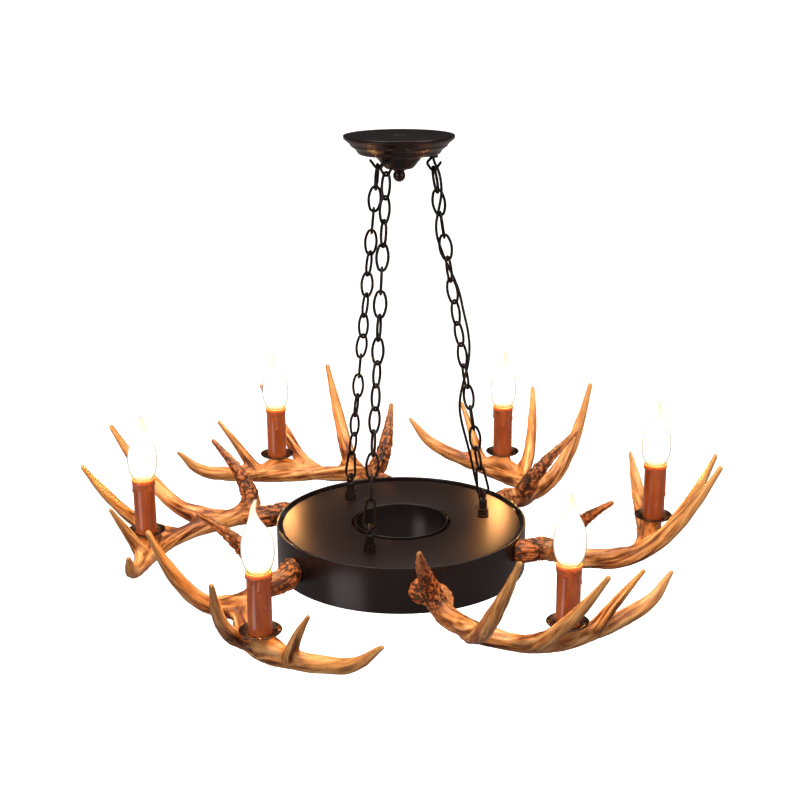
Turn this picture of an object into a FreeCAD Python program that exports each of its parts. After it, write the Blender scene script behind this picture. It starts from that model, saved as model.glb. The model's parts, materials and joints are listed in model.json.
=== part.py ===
import FreeCAD, Part
import math
import os
import Sketcher

os.makedirs("parts", exist_ok=True)
V = FreeCAD.Vector
doc = FreeCAD.newDocument("AntlerChandelier")

# ---------------------------------------------------------------- driving sizes (mm, degrees)
TABLE = [
    # ceiling canopy
    ("rim_radius", 62.7), ("dish_wall", 1.2), ("plate_radius", 61.2), ("plate_thick", 2.0),
    ("fixing_spacing", 78.0), ("fixing_hole", 2.75), ("tread_drop", 20.8), ("dish_depth", 37.4),
    ("nipple_radius", 4.0), ("nipple_bore", 2.6), ("nipple_length", 46.5), ("nipple_head", 7.8),
    ("ball_radius", 7.0), ("ball_drop", 45.4),
    # chain suspension
    ("hook_radius", 39.5), ("hook_drop", 40.0), ("eye_radius", 101.0), ("eye_drop", 430.0),
    ("azimuth_front", -111.0), ("azimuth_back", 129.0), ("azimuth_right", 9.0),
    ("link_wire", 1.6), ("link_pitch", 26.2), ("link_bow", 6.9), ("link_end", 4.7), ("link_span", 29.7), ("wire_gap", 3.5),
    ("drop_top_bow", 4.4), ("drop_bottom_bow", 6.9), ("loop_slack", 0.6), ("hook_bend", 4.2), ("eye_bow", 4.8), ("eye_wire", 1.9),
    ("cable_radius", 1.6),
    # ring drum
    ("ring_drop", 459.5), ("ring_radius", 150.0), ("band_wall", 2.0), ("band_height", 55.3),
    ("cover_radius", 143.0), ("cover_hole", 59.8), ("cover_recess", 3.0), ("cover_thick", 2.0),
    ("sleeve_radius", 56.0), ("sleeve_wall", 1.5), ("spoke_wide", 10.0), ("spoke_thick", 3.0), ("spoke_angle", 16.0),
    ("base_radius", 142.0), ("bolt_radius", 3.0), ("bolt_spread", 12.0), ("bolt_reach", 16.5),
    # lamps
    ("lamp_radius", 306.0), ("tray_radius", 22.8), ("tray_rise", 4.4), ("tray_wall", 1.0),
    ("candle_radius", 13.2), ("candle_bore", 12.0), ("candle_height", 68.5),
    ("holder_radius", 11.4), ("holder_top", 62.0), ("socket_radius", 7.03), ("cap_radius", 6.95), ("cap_length", 25.0),
    ("lamp_pipe", 4.8), ("pipe_bore", 3.2), ("boss_radius", 11.0), ("bulb_radius", 17.5), ("bulb_tip", 145.5),
    # antler stations
    ("burr_radius", 15.0), ("beam_radius", 11.6), ("antler_foot", -26.3), ("foot_drop", 9.9),
    # each antler sits this much higher on the ring than its lamp would put it
    ("antler_lift_one", 2.0), ("antler_lift_two", 0.7), ("antler_lift_three", 0.0),
    ("antler_lift_four", -1.5), ("antler_lift_five", -3.0), ("antler_lift_six", 4.0),
    # lamp azimuths and lamp heights below the rim of the ring
    ("lamp_azimuth_one", 183.0), ("lamp_azimuth_two", 123.8), ("lamp_azimuth_three", -118.5),
    ("lamp_azimuth_four", 62.5), ("lamp_azimuth_five", 1.5), ("lamp_azimuth_six", -55.5),
    ("lamp_level_one", -8.4), ("lamp_level_two", -5.0), ("lamp_level_three", -18.5),
    ("lamp_level_four", -9.0), ("lamp_level_five", -2.0), ("lamp_level_six", -18.8),
]
DISH = [("a", 62.7, 0.0), ("b", 62.7, 3.0), ("c", 61.4, 4.4), ("d", 55.6, 9.4), ("e", 54.8, 11.4), ("f", 49.2, 15.4),
        ("g", 46.6, 19.6), ("h", 45.2, 20.8), ("i", 30.4, 20.8), ("j", 26.0, 24.6), ("k", 21.4, 30.2), ("l", 17.2, 35.4), ("m", 14.6, 37.4)]
for k, r, z in DISH:
    TABLE.append(("dish_radius_" + k, r))
    TABLE.append(("dish_level_" + k, z))


class Q:
    """A size: its number and the sheet expression that drives it."""
    def __init__(self, v, e):
        self.v = float(v)
        self.e = e

    def _w(self, o):
        return o if isinstance(o, Q) else Q(o, "%.6g" % o)

    def __add__(self, o):
        o = self._w(o); return Q(self.v + o.v, "(%s + %s)" % (self.e, o.e))

    def __sub__(self, o):
        o = self._w(o); return Q(self.v - o.v, "(%s - %s)" % (self.e, o.e))

    def __mul__(self, o):
        o = self._w(o); return Q(self.v * o.v, "(%s * %s)" % (self.e, o.e))

    def __truediv__(self, o):
        o = self._w(o); return Q(self.v / o.v, "(%s / %s)" % (self.e, o.e))


sheet = doc.addObject("Spreadsheet::Sheet", "Sizes")
for i, (name, value) in enumerate(TABLE, start=1):
    sheet.set("A%d" % i, name)
    sheet.set("B%d" % i, repr(float(value)))
    sheet.setAlias("B%d" % i, name)
doc.recompute()
S = {name: Q(sheet.get(name), "Sizes." + name) for name, value in TABLE}
N = {name: float(sheet.get(name)) for name, value in TABLE}

keep = []


def node(obj, label):
    obj.Label = label
    keep.append(obj)
    return obj


def bind(obj, prop, q):
    if isinstance(q, Q):
        setattr(obj, prop, q.v)
        obj.setExpression(prop, q.e)
    else:
        setattr(obj, prop, q)


def at(obj, x=0.0, y=0.0, z=0.0, az=0.0):
    obj.Placement = FreeCAD.Placement(V(x, y, z), FreeCAD.Rotation(V(0, 0, 1), az))
    return obj


def drive_z(obj, q):
    obj.Placement = FreeCAD.Placement(V(0, 0, q.v), FreeCAD.Rotation())
    obj.setExpression(".Placement.Base.z", q.e)


def plane(body, role):
    return [f for f in body.Origin.OriginFeatures if f.Role == role][0]


def sketch_on(body, role, name):
    sk = body.newObject("Sketcher::SketchObject", name)
    sk.AttachmentSupport = [(plane(body, role), "")]
    sk.MapMode = "FlatFace"
    return sk


def num(q):
    return q.v if isinstance(q, Q) else float(q)


def tie(sk, kind, geo, pos, q, name):
    idx = sk.addConstraint(Sketcher.Constraint(kind, -1, 1, geo, pos, num(q)))
    sk.renameConstraint(idx, name)
    if isinstance(q, Q):
        sk.setExpression("Constraints." + name, q.e)


def revolved(label, pts, level):
    """A turned piece: closed profile of (radius, height) corners, turned about the vertical axis."""
    body = doc.addObject("PartDesign::Body", label + "_body")
    sk = sketch_on(body, "XZ_Plane", label + "_profile")
    n = len(pts)
    for i in range(n):
        a, b = pts[i], pts[(i + 1) % n]
        sk.addGeometry(Part.LineSegment(V(num(a[0]), num(a[1]), 0), V(num(b[0]), num(b[1]), 0)), False)
    for i in range(n):
        sk.addConstraint(Sketcher.Constraint("Coincident", i, 2, (i + 1) % n, 1))
    for i, (x, y) in enumerate(pts):
        if num(x) == 0.0:
            sk.addConstraint(Sketcher.Constraint("PointOnObject", i, 1, -2))
        else:
            tie(sk, "DistanceX", i, 1, x, "px%d" % i)
        if num(y) == 0.0:
            sk.addConstraint(Sketcher.Constraint("PointOnObject", i, 1, -1))
        else:
            tie(sk, "DistanceY", i, 1, y, "py%d" % i)
    rev = body.newObject("PartDesign::Revolution", label + "_turn")
    rev.Profile = sk
    rev.ReferenceAxis = (sk, ["V_Axis"])
    rev.Angle = 360.0
    sk.Visibility = False
    body.Tip = rev
    drive_z(body, level)
    return body


def disc(label, outer, inner, holes, thick, level):
    """A flat round plate with a centre hole and small round holes, padded upwards from level."""
    body = doc.addObject("PartDesign::Body", label + "_body")
    sk = sketch_on(body, "XY_Plane", label + "_outline")
    rows = [(0.0, 0.0, outer), (0.0, 0.0, inner)] + list(holes)
    for i, (x, y, r) in enumerate(rows):
        g = sk.addGeometry(Part.Circle(V(num(x), num(y), 0), V(0, 0, 1), num(r)), False)
        if num(x) == 0.0 and num(y) == 0.0:
            sk.addConstraint(Sketcher.Constraint("Coincident", g, 3, -1, 1))
        else:
            tie(sk, "DistanceX", g, 3, x, "cx%d" % i)
            if num(y) == 0.0:
                sk.addConstraint(Sketcher.Constraint("PointOnObject", g, 3, -1))
            else:
                tie(sk, "DistanceY", g, 3, y, "cy%d" % i)
        idx = sk.addConstraint(Sketcher.Constraint("Radius", g, num(r)))
        sk.renameConstraint(idx, "rr%d" % i)
        if isinstance(r, Q):
            sk.setExpression("Constraints.rr%d" % i, r.e)
    pad = body.newObject("PartDesign::Pad", label + "_pad")
    pad.Profile = sk
    bind(pad, "Length", thick)
    sk.Visibility = False
    body.Tip = pad
    drive_z(body, level)
    return body


count = [0]


def cyl(r, height, x=0.0, y=0.0, z=0.0, turn=None):
    count[0] += 1
    o = doc.addObject("Part::Cylinder", "cyl%d" % count[0])
    bind(o, "Radius", r)
    bind(o, "Height", height)
    o.Placement = FreeCAD.Placement(V(x, y, z), turn if turn else FreeCAD.Rotation())
    return o


def cone(r1, r2, height, z=0.0):
    count[0] += 1
    o = doc.addObject("Part::Cone", "cone%d" % count[0])
    bind(o, "Radius1", r1)
    bind(o, "Radius2", r2)
    bind(o, "Height", height)
    o.Placement = FreeCAD.Placement(V(0, 0, z), FreeCAD.Rotation())
    return o


def box(lx, ly, lz, x, y, z):
    count[0] += 1
    o = doc.addObject("Part::Box", "box%d" % count[0])
    bind(o, "Length", lx)
    bind(o, "Width", ly)
    bind(o, "Height", lz)
    o.Placement = FreeCAD.Placement(V(x, y, z), FreeCAD.Rotation())
    return o


def prism(r, height, z=0.0):
    count[0] += 1
    o = doc.addObject("Part::Prism", "hex%d" % count[0])
    o.Polygon = 6
    bind(o, "Circumradius", r)
    bind(o, "Height", height)
    o.Placement = FreeCAD.Placement(V(0, 0, z), FreeCAD.Rotation())
    return o


def fuse(*parts):
    count[0] += 1
    o = doc.addObject("Part::MultiFuse", "fuse%d" % count[0])
    o.Shapes = list(parts)
    return o


def cut(a, b):
    count[0] += 1
    o = doc.addObject("Part::Cut", "cut%d" % count[0])
    o.Base = a
    o.Tool = b
    return o


def group(label, parts):
    o = doc.addObject("Part::Compound", label + "_group")
    o.Links = list(parts)
    return node(o, label)


def feature(label, shape):
    o = doc.addObject("Part::Feature", label + "_shape")
    o.Shape = shape
    o.Placement = FreeCAD.Placement()
    return node(o, label)


def rounded_path(pts, radii=None):
    """Straight runs joined by tangent arcs; each arc takes 0.45 of the shorter run at its corner."""
    edges, out = [], []
    last = pts[0]
    for i in range(1, len(pts) - 1):
        p, c, q = pts[i - 1], pts[i], pts[i + 1]
        u, w = (p - c), (q - c)
        lu, lw = u.Length, w.Length
        u = u * (1.0 / lu)
        w = w * (1.0 / lw)
        turn = math.pi - math.acos(max(-1.0, min(1.0, u.dot(w))))
        back = 0.45 * min(lu, lw)
        r = back / math.tan(turn / 2.0)
        if radii is not None and radii[i - 1] is not None:
            r = radii[i - 1]
            back = r * math.tan(turn / 2.0)
        out.append(r)
        a, b = c + u * back, c + w * back
        bis = u + w
        bis = bis * (1.0 / bis.Length)
        mid = c + bis * (math.sqrt(back * back + r * r) - r)
        if (a - last).Length > 1e-6:
            edges.append(Part.LineSegment(last, a).toShape())
        edges.append(Part.Arc(a, mid, b).toShape())
        last = b
    edges.append(Part.LineSegment(last, pts[-1]).toShape())
    return Part.Wire(edges), out


def swept(wire, r, start, direction):
    ring = Part.Wire([Part.Circle(start, direction, r).toShape()])
    return wire.makePipeShell([ring], True, False)


def frame_matrix(origin, ex, ez):
    """Placement whose local X follows ex and local Z follows ez, at origin."""
    ez = ez * (1.0 / ez.Length)
    ex = ex - ez * ex.dot(ez)
    ex = ex * (1.0 / ex.Length)
    ey = ez.cross(ex)
    m = FreeCAD.Matrix(ex.x, ey.x, ez.x, origin.x, ex.y, ey.y, ez.y, origin.y, ex.z, ey.z, ez.z, origin.z, 0, 0, 0, 1)
    return m


def moved(shape, m):
    s = shape.copy()
    s.transformShape(m, True)
    return s


def polar(r, az, z=0.0):
    a = math.radians(az)
    return V(r * math.cos(a), r * math.sin(a), z)


# ---------------------------------------------------------------- ceiling canopy
# stepped spun dish: open at the ceiling, closed below except for the middle hole
floor = S["dish_depth"]
outer = [(S["dish_radius_" + k], floor - S["dish_level_" + k]) for k, r, z in DISH]
inner = []
wall = S["dish_wall"]
for k, r, z in reversed(DISH[:-1]):
    rr = S["dish_radius_" + k] - wall
    if k in ("a",):
        inner.append((rr, floor - S["dish_level_a"]))
    elif k in ("h", "i"):
        inner.append((rr, floor - S["dish_level_" + k] + wall))
    else:
        inner.append((rr, floor - S["dish_level_" + k] + wall * 0.55))
dish_pts = [(outer[0][0], outer[0][1])] + outer[1:]
bore = S["nipple_radius"] + 0.3
dish_pts = dish_pts[:-1] + [(S["dish_radius_m"], 0.0), (bore, 0.0), (bore, wall)] + [(S["dish_radius_m"] - 0.6, wall)] + inner
dish_body = revolved("dish", dish_pts, Q(0, "0") - floor)
dish_holes = [cyl(2.7, 12.0, *polar(N["hook_radius"], N[a], -26.0)) for a in ("azimuth_front", "azimuth_back", "azimuth_right")]
CABLE_TOP = (37.6, -9.0)
dish_holes.append(cyl(5.85, 12.0, *polar(CABLE_TOP[0], CABLE_TOP[1], -26.0)))
dish = cut(dish_body, fuse(*dish_holes))
node(dish, "canopy_dish")

half = S["fixing_spacing"] / 2
plate = disc("backplate", S["plate_radius"], S["nipple_radius"] + 0.1,
             [(half, 0.0, S["fixing_hole"]), (Q(0, "0") - half, 0.0, S["fixing_hole"])], S["plate_thick"], Q(0, "0") - S["plate_thick"])
plate = cut(plate, cyl(S["nipple_head"] + 0.1, 2.0, 0, 0, -1.0))
node(plate, "canopy_backplate")

nl = S["nipple_length"]
nip = revolved("nipple", [(S["nipple_bore"], 0.0), (S["nipple_radius"], 0.0), (S["nipple_radius"], nl - 1.0),
                          (S["nipple_head"], nl - 1.0), (S["nipple_head"], nl), (S["nipple_bore"], nl)], Q(0, "0") - nl)
node(nip, "canopy_nipple")

nuts = [cut(prism(7.4, 4.0, -6.05), cyl(S["nipple_radius"] + 0.03, 6.0, 0, 0, -7.0))]
for a in ("azimuth_front", "azimuth_back", "azimuth_right"):
    nut = cut(prism(4.6, 4.0), cyl(2.53, 6.0, 0, 0, -1.0))
    p = polar(N["hook_radius"], N[a], -19.55)
    at(nut, p.x, p.y, p.z, N[a])
    nuts.append(nut)
group("canopy_nuts", nuts)

# finial: collar and ball turned from one piece, tapped from above
bd, br = S["ball_drop"], S["ball_radius"]
collar = fuse(cone(6.2, 9.0, 2.4, -39.9), cyl(5.8, 3.4, 0, 0, -42.4))
ball = doc.addObject("Part::Sphere", "finial_sphere")
bind(ball, "Radius", br)
ball.Placement = FreeCAD.Placement(V(0, 0, -bd.v), FreeCAD.Rotation())
ball.setExpression(".Placement.Base.z", "-" + bd.e)
finial = cut(fuse(collar, ball), cyl(S["nipple_radius"] + 0.05, 11.0, 0, 0, -47.0))
node(finial, "finial_ball")

# rubber bush of the cable in the canopy
tread = -N["tread_drop"]
bush_at = polar(CABLE_TOP[0], CABLE_TOP[1])
bush = cut(fuse(cyl(5.8, 3.4, 0, 0, tread - 0.9), cyl(6.4, 1.0, 0, 0, tread - 1.05), cyl(6.2, 1.0, 0, 0, tread + 1.25)), cyl(5.0, 6.0, 0, 0, tread - 2.0))
at(bush, bush_at.x, bush_at.y, 0.0)
node(bush, "canopy_bush")

# ---------------------------------------------------------------- chains
RIGHT = V(1, 0, 0)
CH = {}
ROLLS = {
    "front": [50, -40, 66, -18, 90, 5, -75, 25, -57, 50, -35, 74, -10, 90],
    "back": [80, 0, 90, 18, -66, 20, -65, 40, -30, 90, 30, 105, 43, -57],
    "right": [74, 0, 87, 5, -69, 35, -50, 50, -43, 70, -35, 85, -25, 69],
}
DROP_ROLL = {"front": 4.0, "back": 33.0, "right": -14.0}
for key in ("front", "back", "right"):
    az = N["azimuth_" + key]
    top = polar(N["hook_radius"], az, -N["hook_drop"])
    low = polar(N["eye_radius"], az, -N["eye_drop"])
    d = low - top
    length = d.Length
    d = d * (1.0 / length)
    e1 = RIGHT - d * RIGHT.dot(d)
    e1 = e1 * (1.0 / e1.Length)
    e2 = d.cross(e1)
    CH[key] = (top, low, d, length, e1, e2)


def wide(key, roll):
    top, low, d, length, e1, e2 = CH[key]
    a = math.radians(roll)
    return e1 * math.cos(a) + e2 * math.sin(a)


def link_solid():
    """One oval link in the local XZ plane, top bow at z = 0, hanging down: two flat side arcs, two round end arcs."""
    b, r1, w = N["link_bow"], N["link_end"], N["link_wire"]
    half_span = N["link_span"] / 2.0
    rs = ((half_span - r1) ** 2 + b * b - r1 * r1) / (2.0 * (b - r1))
    cx = rs - b
    a = math.atan2(half_span - r1, cx)
    jx, jz = rs * math.cos(a) - cx, rs * math.sin(a)
    zc = -half_span
    tl, tr = V(-jx, 0, zc + jz), V(jx, 0, zc + jz)
    bl, br_ = V(-jx, 0, zc - jz), V(jx, 0, zc - jz)
    e = [Part.Arc(tl, V(0, 0, 0), tr).toShape(), Part.Arc(tr, V(b, 0, zc), br_).toShape(),
         Part.Arc(br_, V(0, 0, 2 * zc), bl).toShape(), Part.Arc(bl, V(-b, 0, zc), tl).toShape()]
    return swept(Part.Wire(e), w, tl, V(math.sin(a), 0, math.cos(a)))


def drop_solid(span):
    """Pear-shaped end loop: small bow on top, wide bow below, in the local XZ plane."""
    rt, rb, w = N["drop_top_bow"], N["drop_bottom_bow"], N["link_wire"]
    zt, zb = -rt, -(span - rb)
    k = (rb - rt) / (zt - zb)
    s, c = k, math.sqrt(1 - k * k)
    tr, br_ = V(rt * c, 0, zt + rt * s), V(rb * c, 0, zb + rb * s)
    tl, bl = V(-tr.x, 0, tr.z), V(-br_.x, 0, br_.z)
    e = [Part.Arc(tl, V(0, 0, 0), tr).toShape(), Part.LineSegment(tr, br_).toShape(),
         Part.Arc(br_, V(0, 0, -span), bl).toShape(), Part.LineSegment(bl, tl).toShape()]
    return swept(Part.Wire(e), w, tl, (tl - bl))


LINK = link_solid()
for key in ("front", "back", "right"):
    top, low, d, length, e1, e2 = CH[key]
    links = []
    for k in range(14):
        s = N["link_pitch"] * k - N["wire_gap"]
        m = frame_matrix(top + d * s, wide(key, ROLLS[key][k]), d * -1.0)
        links.append(moved(LINK, m))
    feature("top_link_" + key, links[0])
    feature("chain_" + key, Part.makeCompound(links[1:]))
    s0 = N["link_pitch"] * 14 - N["wire_gap"]
    span = length + N["wire_gap"] + N["loop_slack"] - s0
    m = frame_matrix(top + d * s0, wide(key, DROP_ROLL[key]), d * -1.0)
    feature("drop_link_" + key, moved(drop_solid(span), m))

# screw hooks under the canopy: threaded shank, two collars, open V-shaped hook with a round bottom
hooks = []
for key in ("front", "back", "right"):
    top, low, d, length, e1, e2 = CH[key]
    across = wide(key, ROLLS[key][0] + 90)
    across = V(across.x, across.y, 0)
    w, rise = N["link_wire"], 16.2
    under = N["hook_drop"] - N["tread_drop"]
    corners = [V(0, 0, rise), V(-8.6, 0, 8.3), V(0, 0, -3.18), V(8.0, 0, 7.9)]
    path, bends = rounded_path(corners, [3.0, N["hook_bend"]])
    loop = swept(path, w, corners[0], corners[1] - corners[0])
    tip = Part.makeSphere(w, corners[3])
    shank = Part.makeCylinder(2.5, 11.6, V(0, 0, rise - 0.6))
    core = Part.makeCylinder(4.0, under - 1.0 - 14.6, V(0, 0, 14.6))
    c1 = Part.makeCylinder(5.4, 1.8, V(0, 0, under - 1.85))
    c2 = Part.makeCylinder(5.0, 1.8, V(0, 0, 14.0))
    solid = loop.fuse([tip, shank, core, c1, c2]).removeSplitter()
    side = -1.0 if key == "back" else 1.0
    if across.x * side < 0:
        across = across * -1.0
    hooks.append(moved(solid, frame_matrix(top, across, V(0, 0, 1))))
feature("chain_hooks", Part.makeCompound(hooks))

# ring eyes: loop on a turned stem with three flanges, nutted under the cover plate
cover_top = -(N["ring_drop"] + N["cover_recess"])
eyes, eye_nuts = [], []
for key in ("front", "back", "right"):
    top, low, d, length, e1, e2 = CH[key]
    across = wide(key, DROP_ROLL[key] + 90)
    across = V(across.x, across.y, 0)
    rb, w = N["eye_bow"], N["eye_wire"]
    loop = Part.makeTorus(rb, w, V(0, 0, -rb), V(0, 1, 0))
    z0 = cover_top + N["eye_drop"]
    zn = -2 * rb
    stem = Part.makeCylinder(5.0, zn - 1.8 - z0, V(0, 0, z0))
    neck = Part.makeCone(5.0, 3.2, 1.8, V(0, 0, zn - 1.8))
    groove = Part.makeCylinder(6.3, 9.0, V(0, 0, z0 + 0.5))
    f1 = Part.makeCylinder(7.3, 3.0, V(0, 0, z0))
    f2 = Part.makeCylinder(7.0, 2.2, V(0, 0, z0 + 4.2))
    f3 = Part.makeCylinder(6.8, 2.0, V(0, 0, z0 + 8.0))
    thread = Part.makeCylinder(2.5, 9.0, V(0, 0, z0 - 8.9))
    solid = stem.fuse([loop, neck, groove, f1, f2, f3, thread]).removeSplitter()
    eyes.append(moved(solid, frame_matrix(low, across, V(0, 0, 1))))
    nut = cut(prism(4.6, 4.0), cyl(2.53, 6.0, 0, 0, -1.0))
    at(nut, low.x, low.y, cover_top - N["cover_thick"] - 4.05, N["azimuth_" + key])
    eye_nuts.append(nut)
feature("ring_eyes", Part.makeCompound(eyes))
group("eye_nuts", eye_nuts)

# supply cable: winds loosely round the right-hand chain, from canopy to ring
# stations: distance down the chain, then offsets to the right and towards the front
top, low, d, length, e1, e2 = CH["right"]
WIND = [(-1, 5.2, 9.5), (13, 6.2, 8.4), (28, 4.6, 7.2), (46, -2.0, 6.6), (62, -7.4, 2.6), (78, -8.2, -3.2), (95, -5.2, -8.6), (112, -1.6, -11.0),
        (130, 4.4, -9.6), (148, 8.2, -5.6), (168, 9.0, -1.6), (190, 11.0, 1.2), (211, 10.2, 5.4), (230, 5.4, 9.6), (250, -3.4, 11.2),
        (270, -10.6, 7.6), (289, -13.4, 1.6), (308, -12.8, -3.4), (328, -10.8, -7.2), (349, -9.0, -11.4), (370, -8.0, -16.0), (391, -7.0, -21.0)]
CABLE_LOW = (98.0, 44.0)
route = [V(bush_at.x, bush_at.y, -13.5), V(bush_at.x + 0.3, bush_at.y + 0.3, -27.0)]
for s, u, v in WIND:
    route.append(top + d * s + e1 * u + e2 * v)
route.append(V(CABLE_LOW[0] + 0.4, CABLE_LOW[1] - 0.6, -449.0))
route.append(V(CABLE_LOW[0], CABLE_LOW[1], -470.0))
wire, radii = rounded_path(route)
cable = swept(wire, N["cable_radius"], route[0], route[1] - route[0])
expect = math.pi * N["cable_radius"] ** 2 * wire.Length
print("cable length %.1f volume %.1f expected %.1f radii %s" % (wire.Length, cable.Volume, expect, [round(r, 1) for r in radii]))
print("cable runs", [round((route[i + 1] - route[i]).Length, 1) for i in range(len(route) - 1)])
feature("supply_cable", cable)

# ---------------------------------------------------------------- ring drum
zr = -N["ring_drop"]
lamps = [(N["lamp_azimuth_" + w_], N["lamp_level_" + w_], N["antler_lift_" + w_]) for w_ in ("one", "two", "three", "four", "five", "six")]
band = cut(cyl(S["ring_radius"], S["band_height"], 0, 0, zr - N["band_height"]), cyl(S["ring_radius"] - S["band_wall"], S["band_height"] + 2, 0, 0, zr - N["band_height"] - 1))
drills = []
for az, lvl, lift in lamps:
    foot = az + N["antler_foot"]
    rot = FreeCAD.Rotation(V(0, 0, 1), foot).multiply(FreeCAD.Rotation(V(0, 1, 0), 90))
    for side in (-0.5, 0.5):
        p = polar(140.0, foot, zr - N["foot_drop"] + lvl + lift) + polar(side * N["bolt_spread"], foot + 90)
        drills.append(cyl(S["bolt_radius"] + 0.1, 16.0, p.x, p.y, p.z, rot))
node(cut(band, fuse(*drills)), "outer_band")

eye_holes = [(Q(polar(N["eye_radius"], N["azimuth_" + k]).x, "Sizes.eye_radius * cos(Sizes.azimuth_%s)" % k),
              Q(polar(N["eye_radius"], N["azimuth_" + k]).y, "Sizes.eye_radius * sin(Sizes.azimuth_%s)" % k), 2.6) for k in ("front", "back", "right")]
cover = disc("cover", S["cover_radius"], S["cover_hole"], eye_holes + [(CABLE_LOW[0], CABLE_LOW[1], 5.85)], S["cover_thick"],
             Q(0, "0") - S["ring_drop"] - S["cover_recess"] - S["cover_thick"])
node(cover, "top_plate")
base_level = Q(0, "0") - S["ring_drop"] - S["band_height"] + 2.0
screw_holes = []
for k in range(4):
    p = polar(112.0, N["spoke_angle"] + 90 * k)
    screw_holes.append((p.x, p.y, 2.2))
base = disc("base", S["base_radius"], S["cover_hole"], screw_holes, S["cover_thick"], base_level)
node(base, "bottom_plate")
inner_tube = disc("inner", S["sleeve_radius"], S["sleeve_radius"] - S["sleeve_wall"], [], S["band_height"] - 1.6, Q(0, "0") - S["ring_drop"] - S["band_height"] + 0.3)
node(inner_tube, "inner_sleeve")

spokes, screws = [], []
z_spoke = cover_top - N["cover_thick"] - N["spoke_thick"] - 0.02
pillar = z_spoke - (base_level.v + N["cover_thick"]) - 0.02
for k in range(4):
    bar = box(S["ring_radius"] - S["band_wall"] - S["sleeve_radius"] - 0.2, S["spoke_wide"], S["spoke_thick"], N["sleeve_radius"] + 0.02, -N["spoke_wide"] / 2, z_spoke)
    post = cut(cyl(4.6, pillar + 0.5, 112.0, 0, z_spoke - pillar), cyl(2.05, 14.0, 112.0, 0, z_spoke - pillar - 0.5))
    spoke = fuse(bar, post)
    spoke.Placement = FreeCAD.Placement(V(0, 0, 0), FreeCAD.Rotation(V(0, 0, 1), N["spoke_angle"] + 90 * k))
    spokes.append(spoke)
    p = polar(112.0, N["spoke_angle"] + 90 * k)
    screw = fuse(cyl(4.0, 2.2, 0, 0, -2.25), cyl(2.0, 12.0, 0, 0, -0.1))
    at(screw, p.x, p.y, base_level.v)
    screws.append(screw)
group("ring_spokes", spokes)
group("cover_screws", screws)

rb_at = V(CABLE_LOW[0], CABLE_LOW[1], 0)
rbush = cut(fuse(cyl(5.8, 3.6, 0, 0, cover_top - 2.8), cyl(6.8, 1.0, 0, 0, cover_top + 0.05), cyl(6.8, 1.0, 0, 0, cover_top - N["cover_thick"] - 1.05)), cyl(4.8, 7.0, 0, 0, cover_top - 4.5))
at(rbush, rb_at.x, rb_at.y, 0.0)
node(rbush, "ring_bush")

block = cut(box(36.0, 18.0, 14.0, 0, 0, 0), fuse(*[cyl(2.2, 8.0, 6.0 + 8.0 * k, 9.0, -1.0) for k in range(4)]))
block.Placement = FreeCAD.Placement(V(92.0, -44.0, cover_top - N["cover_thick"] - 14.05), FreeCAD.Rotation(V(0, 0, 1), -20))
node(block, "terminal_block")

# ---------------------------------------------------------------- antlers
# centre lines in the lamp's own frame: x outwards through the lamp, y counter-clockwise, z from the drip tray
BEAM = [(134.5, -66.4, -9.9), (170.0, -64.0, -10.5), (199.0, -78.0, -15.0), (261.0, -55.0, -25.0), (297.5, 0.0, -26.8), (309.0, 104.5, -7.8), (307.5, 148.0, 26.0)]
TINES = [
    ("brow", 1.9, (161.0, -82.0, 6.0), (227.8, -134.0, 70.5), (11.0, 12.6, 10.0, 7.0, 2.2)),
    ("second", 2.43, (287.7, -102.5, -26.0), (351.5, -107.0, 100.0), (11.4, 9.6, 9.4, 7.4, 2.2)),
    ("third", 3.45, (330.5, -38.0, -9.0), (377.5, -12.5, 77.0), (8.6, 8.6, 7.4, 6.2, 2.0)),
    ("fourth", 4.36, (312.7, 34.0, -12.0), (337.0, 75.0, 50.0), (8.6, 8.8, 6.6, 4.8, 1.8)),
]
# each antler's own offsets of its four tine tips and of the beam's end
SHIFT = [
    {"brow": (4.6, 0.9, -3.7), "second": (4.5, 0.7, -3.0), "third": (1.1, -0.3, 0.7), "fourth": (-1.8, -1.5, 5.2), "end": (0.0, 0.0, 0.0)},
    {"brow": (-2.1, -1.7, -2.5), "second": (-1.8, -2.4, -0.5), "third": (-1.7, -3.8, 2.2), "fourth": (-1.1, -3.1, 2.5), "end": (0.7, -1.3, 4.5)},
    {"brow": (-3.0, 0.6, 8.0), "second": (-3.2, 2.4, 5.7), "third": (-2.4, 4.1, 0.6), "fourth": (-0.6, 3.0, -2.9), "end": (3.3, -1.4, -7.2)},
    {"brow": (1.5, -0.8, 3.1), "second": (1.1, -1.2, 1.2), "third": (0.9, -1.1, 0.9), "fourth": (0.1, 2.7, 4.6), "end": (2.0, -2.0, 2.9)},
    {"brow": (2.5, 0.6, 2.3), "second": (5.3, 0.6, 2.5), "third": (-2.4, 2.0, 6.4), "fourth": (-2.0, 2.0, 5.0), "end": (-3.0, 2.3, 7.2)},
    {"brow": (-2.2, 1.4, 8.7), "second": (0.0, 2.8, 5.3), "third": (0.3, 0.3, -0.2), "fourth": (0.7, -0.1, -2.0), "end": (1.4, -1.9, -7.4)},
]


def spline(pts, u):
    """Point on the Catmull-Rom curve through pts, u from 0 to len-1."""
    n = len(pts)
    i = min(int(u), n - 2)
    f = u - i
    p1, p2 = pts[i], pts[i + 1]
    p0 = pts[i - 1] if i > 0 else p1 * 2 - p2
    p3 = pts[i + 2] if i + 2 < n else p2 * 2 - p1
    return (p1 * 2 + (p2 - p0) * f + (p0 * 2 - p1 * 5 + p2 * 4 - p3) * f * f + (p1 * 3 - p0 - p2 * 3 + p3) * f ** 3) * 0.5


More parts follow.
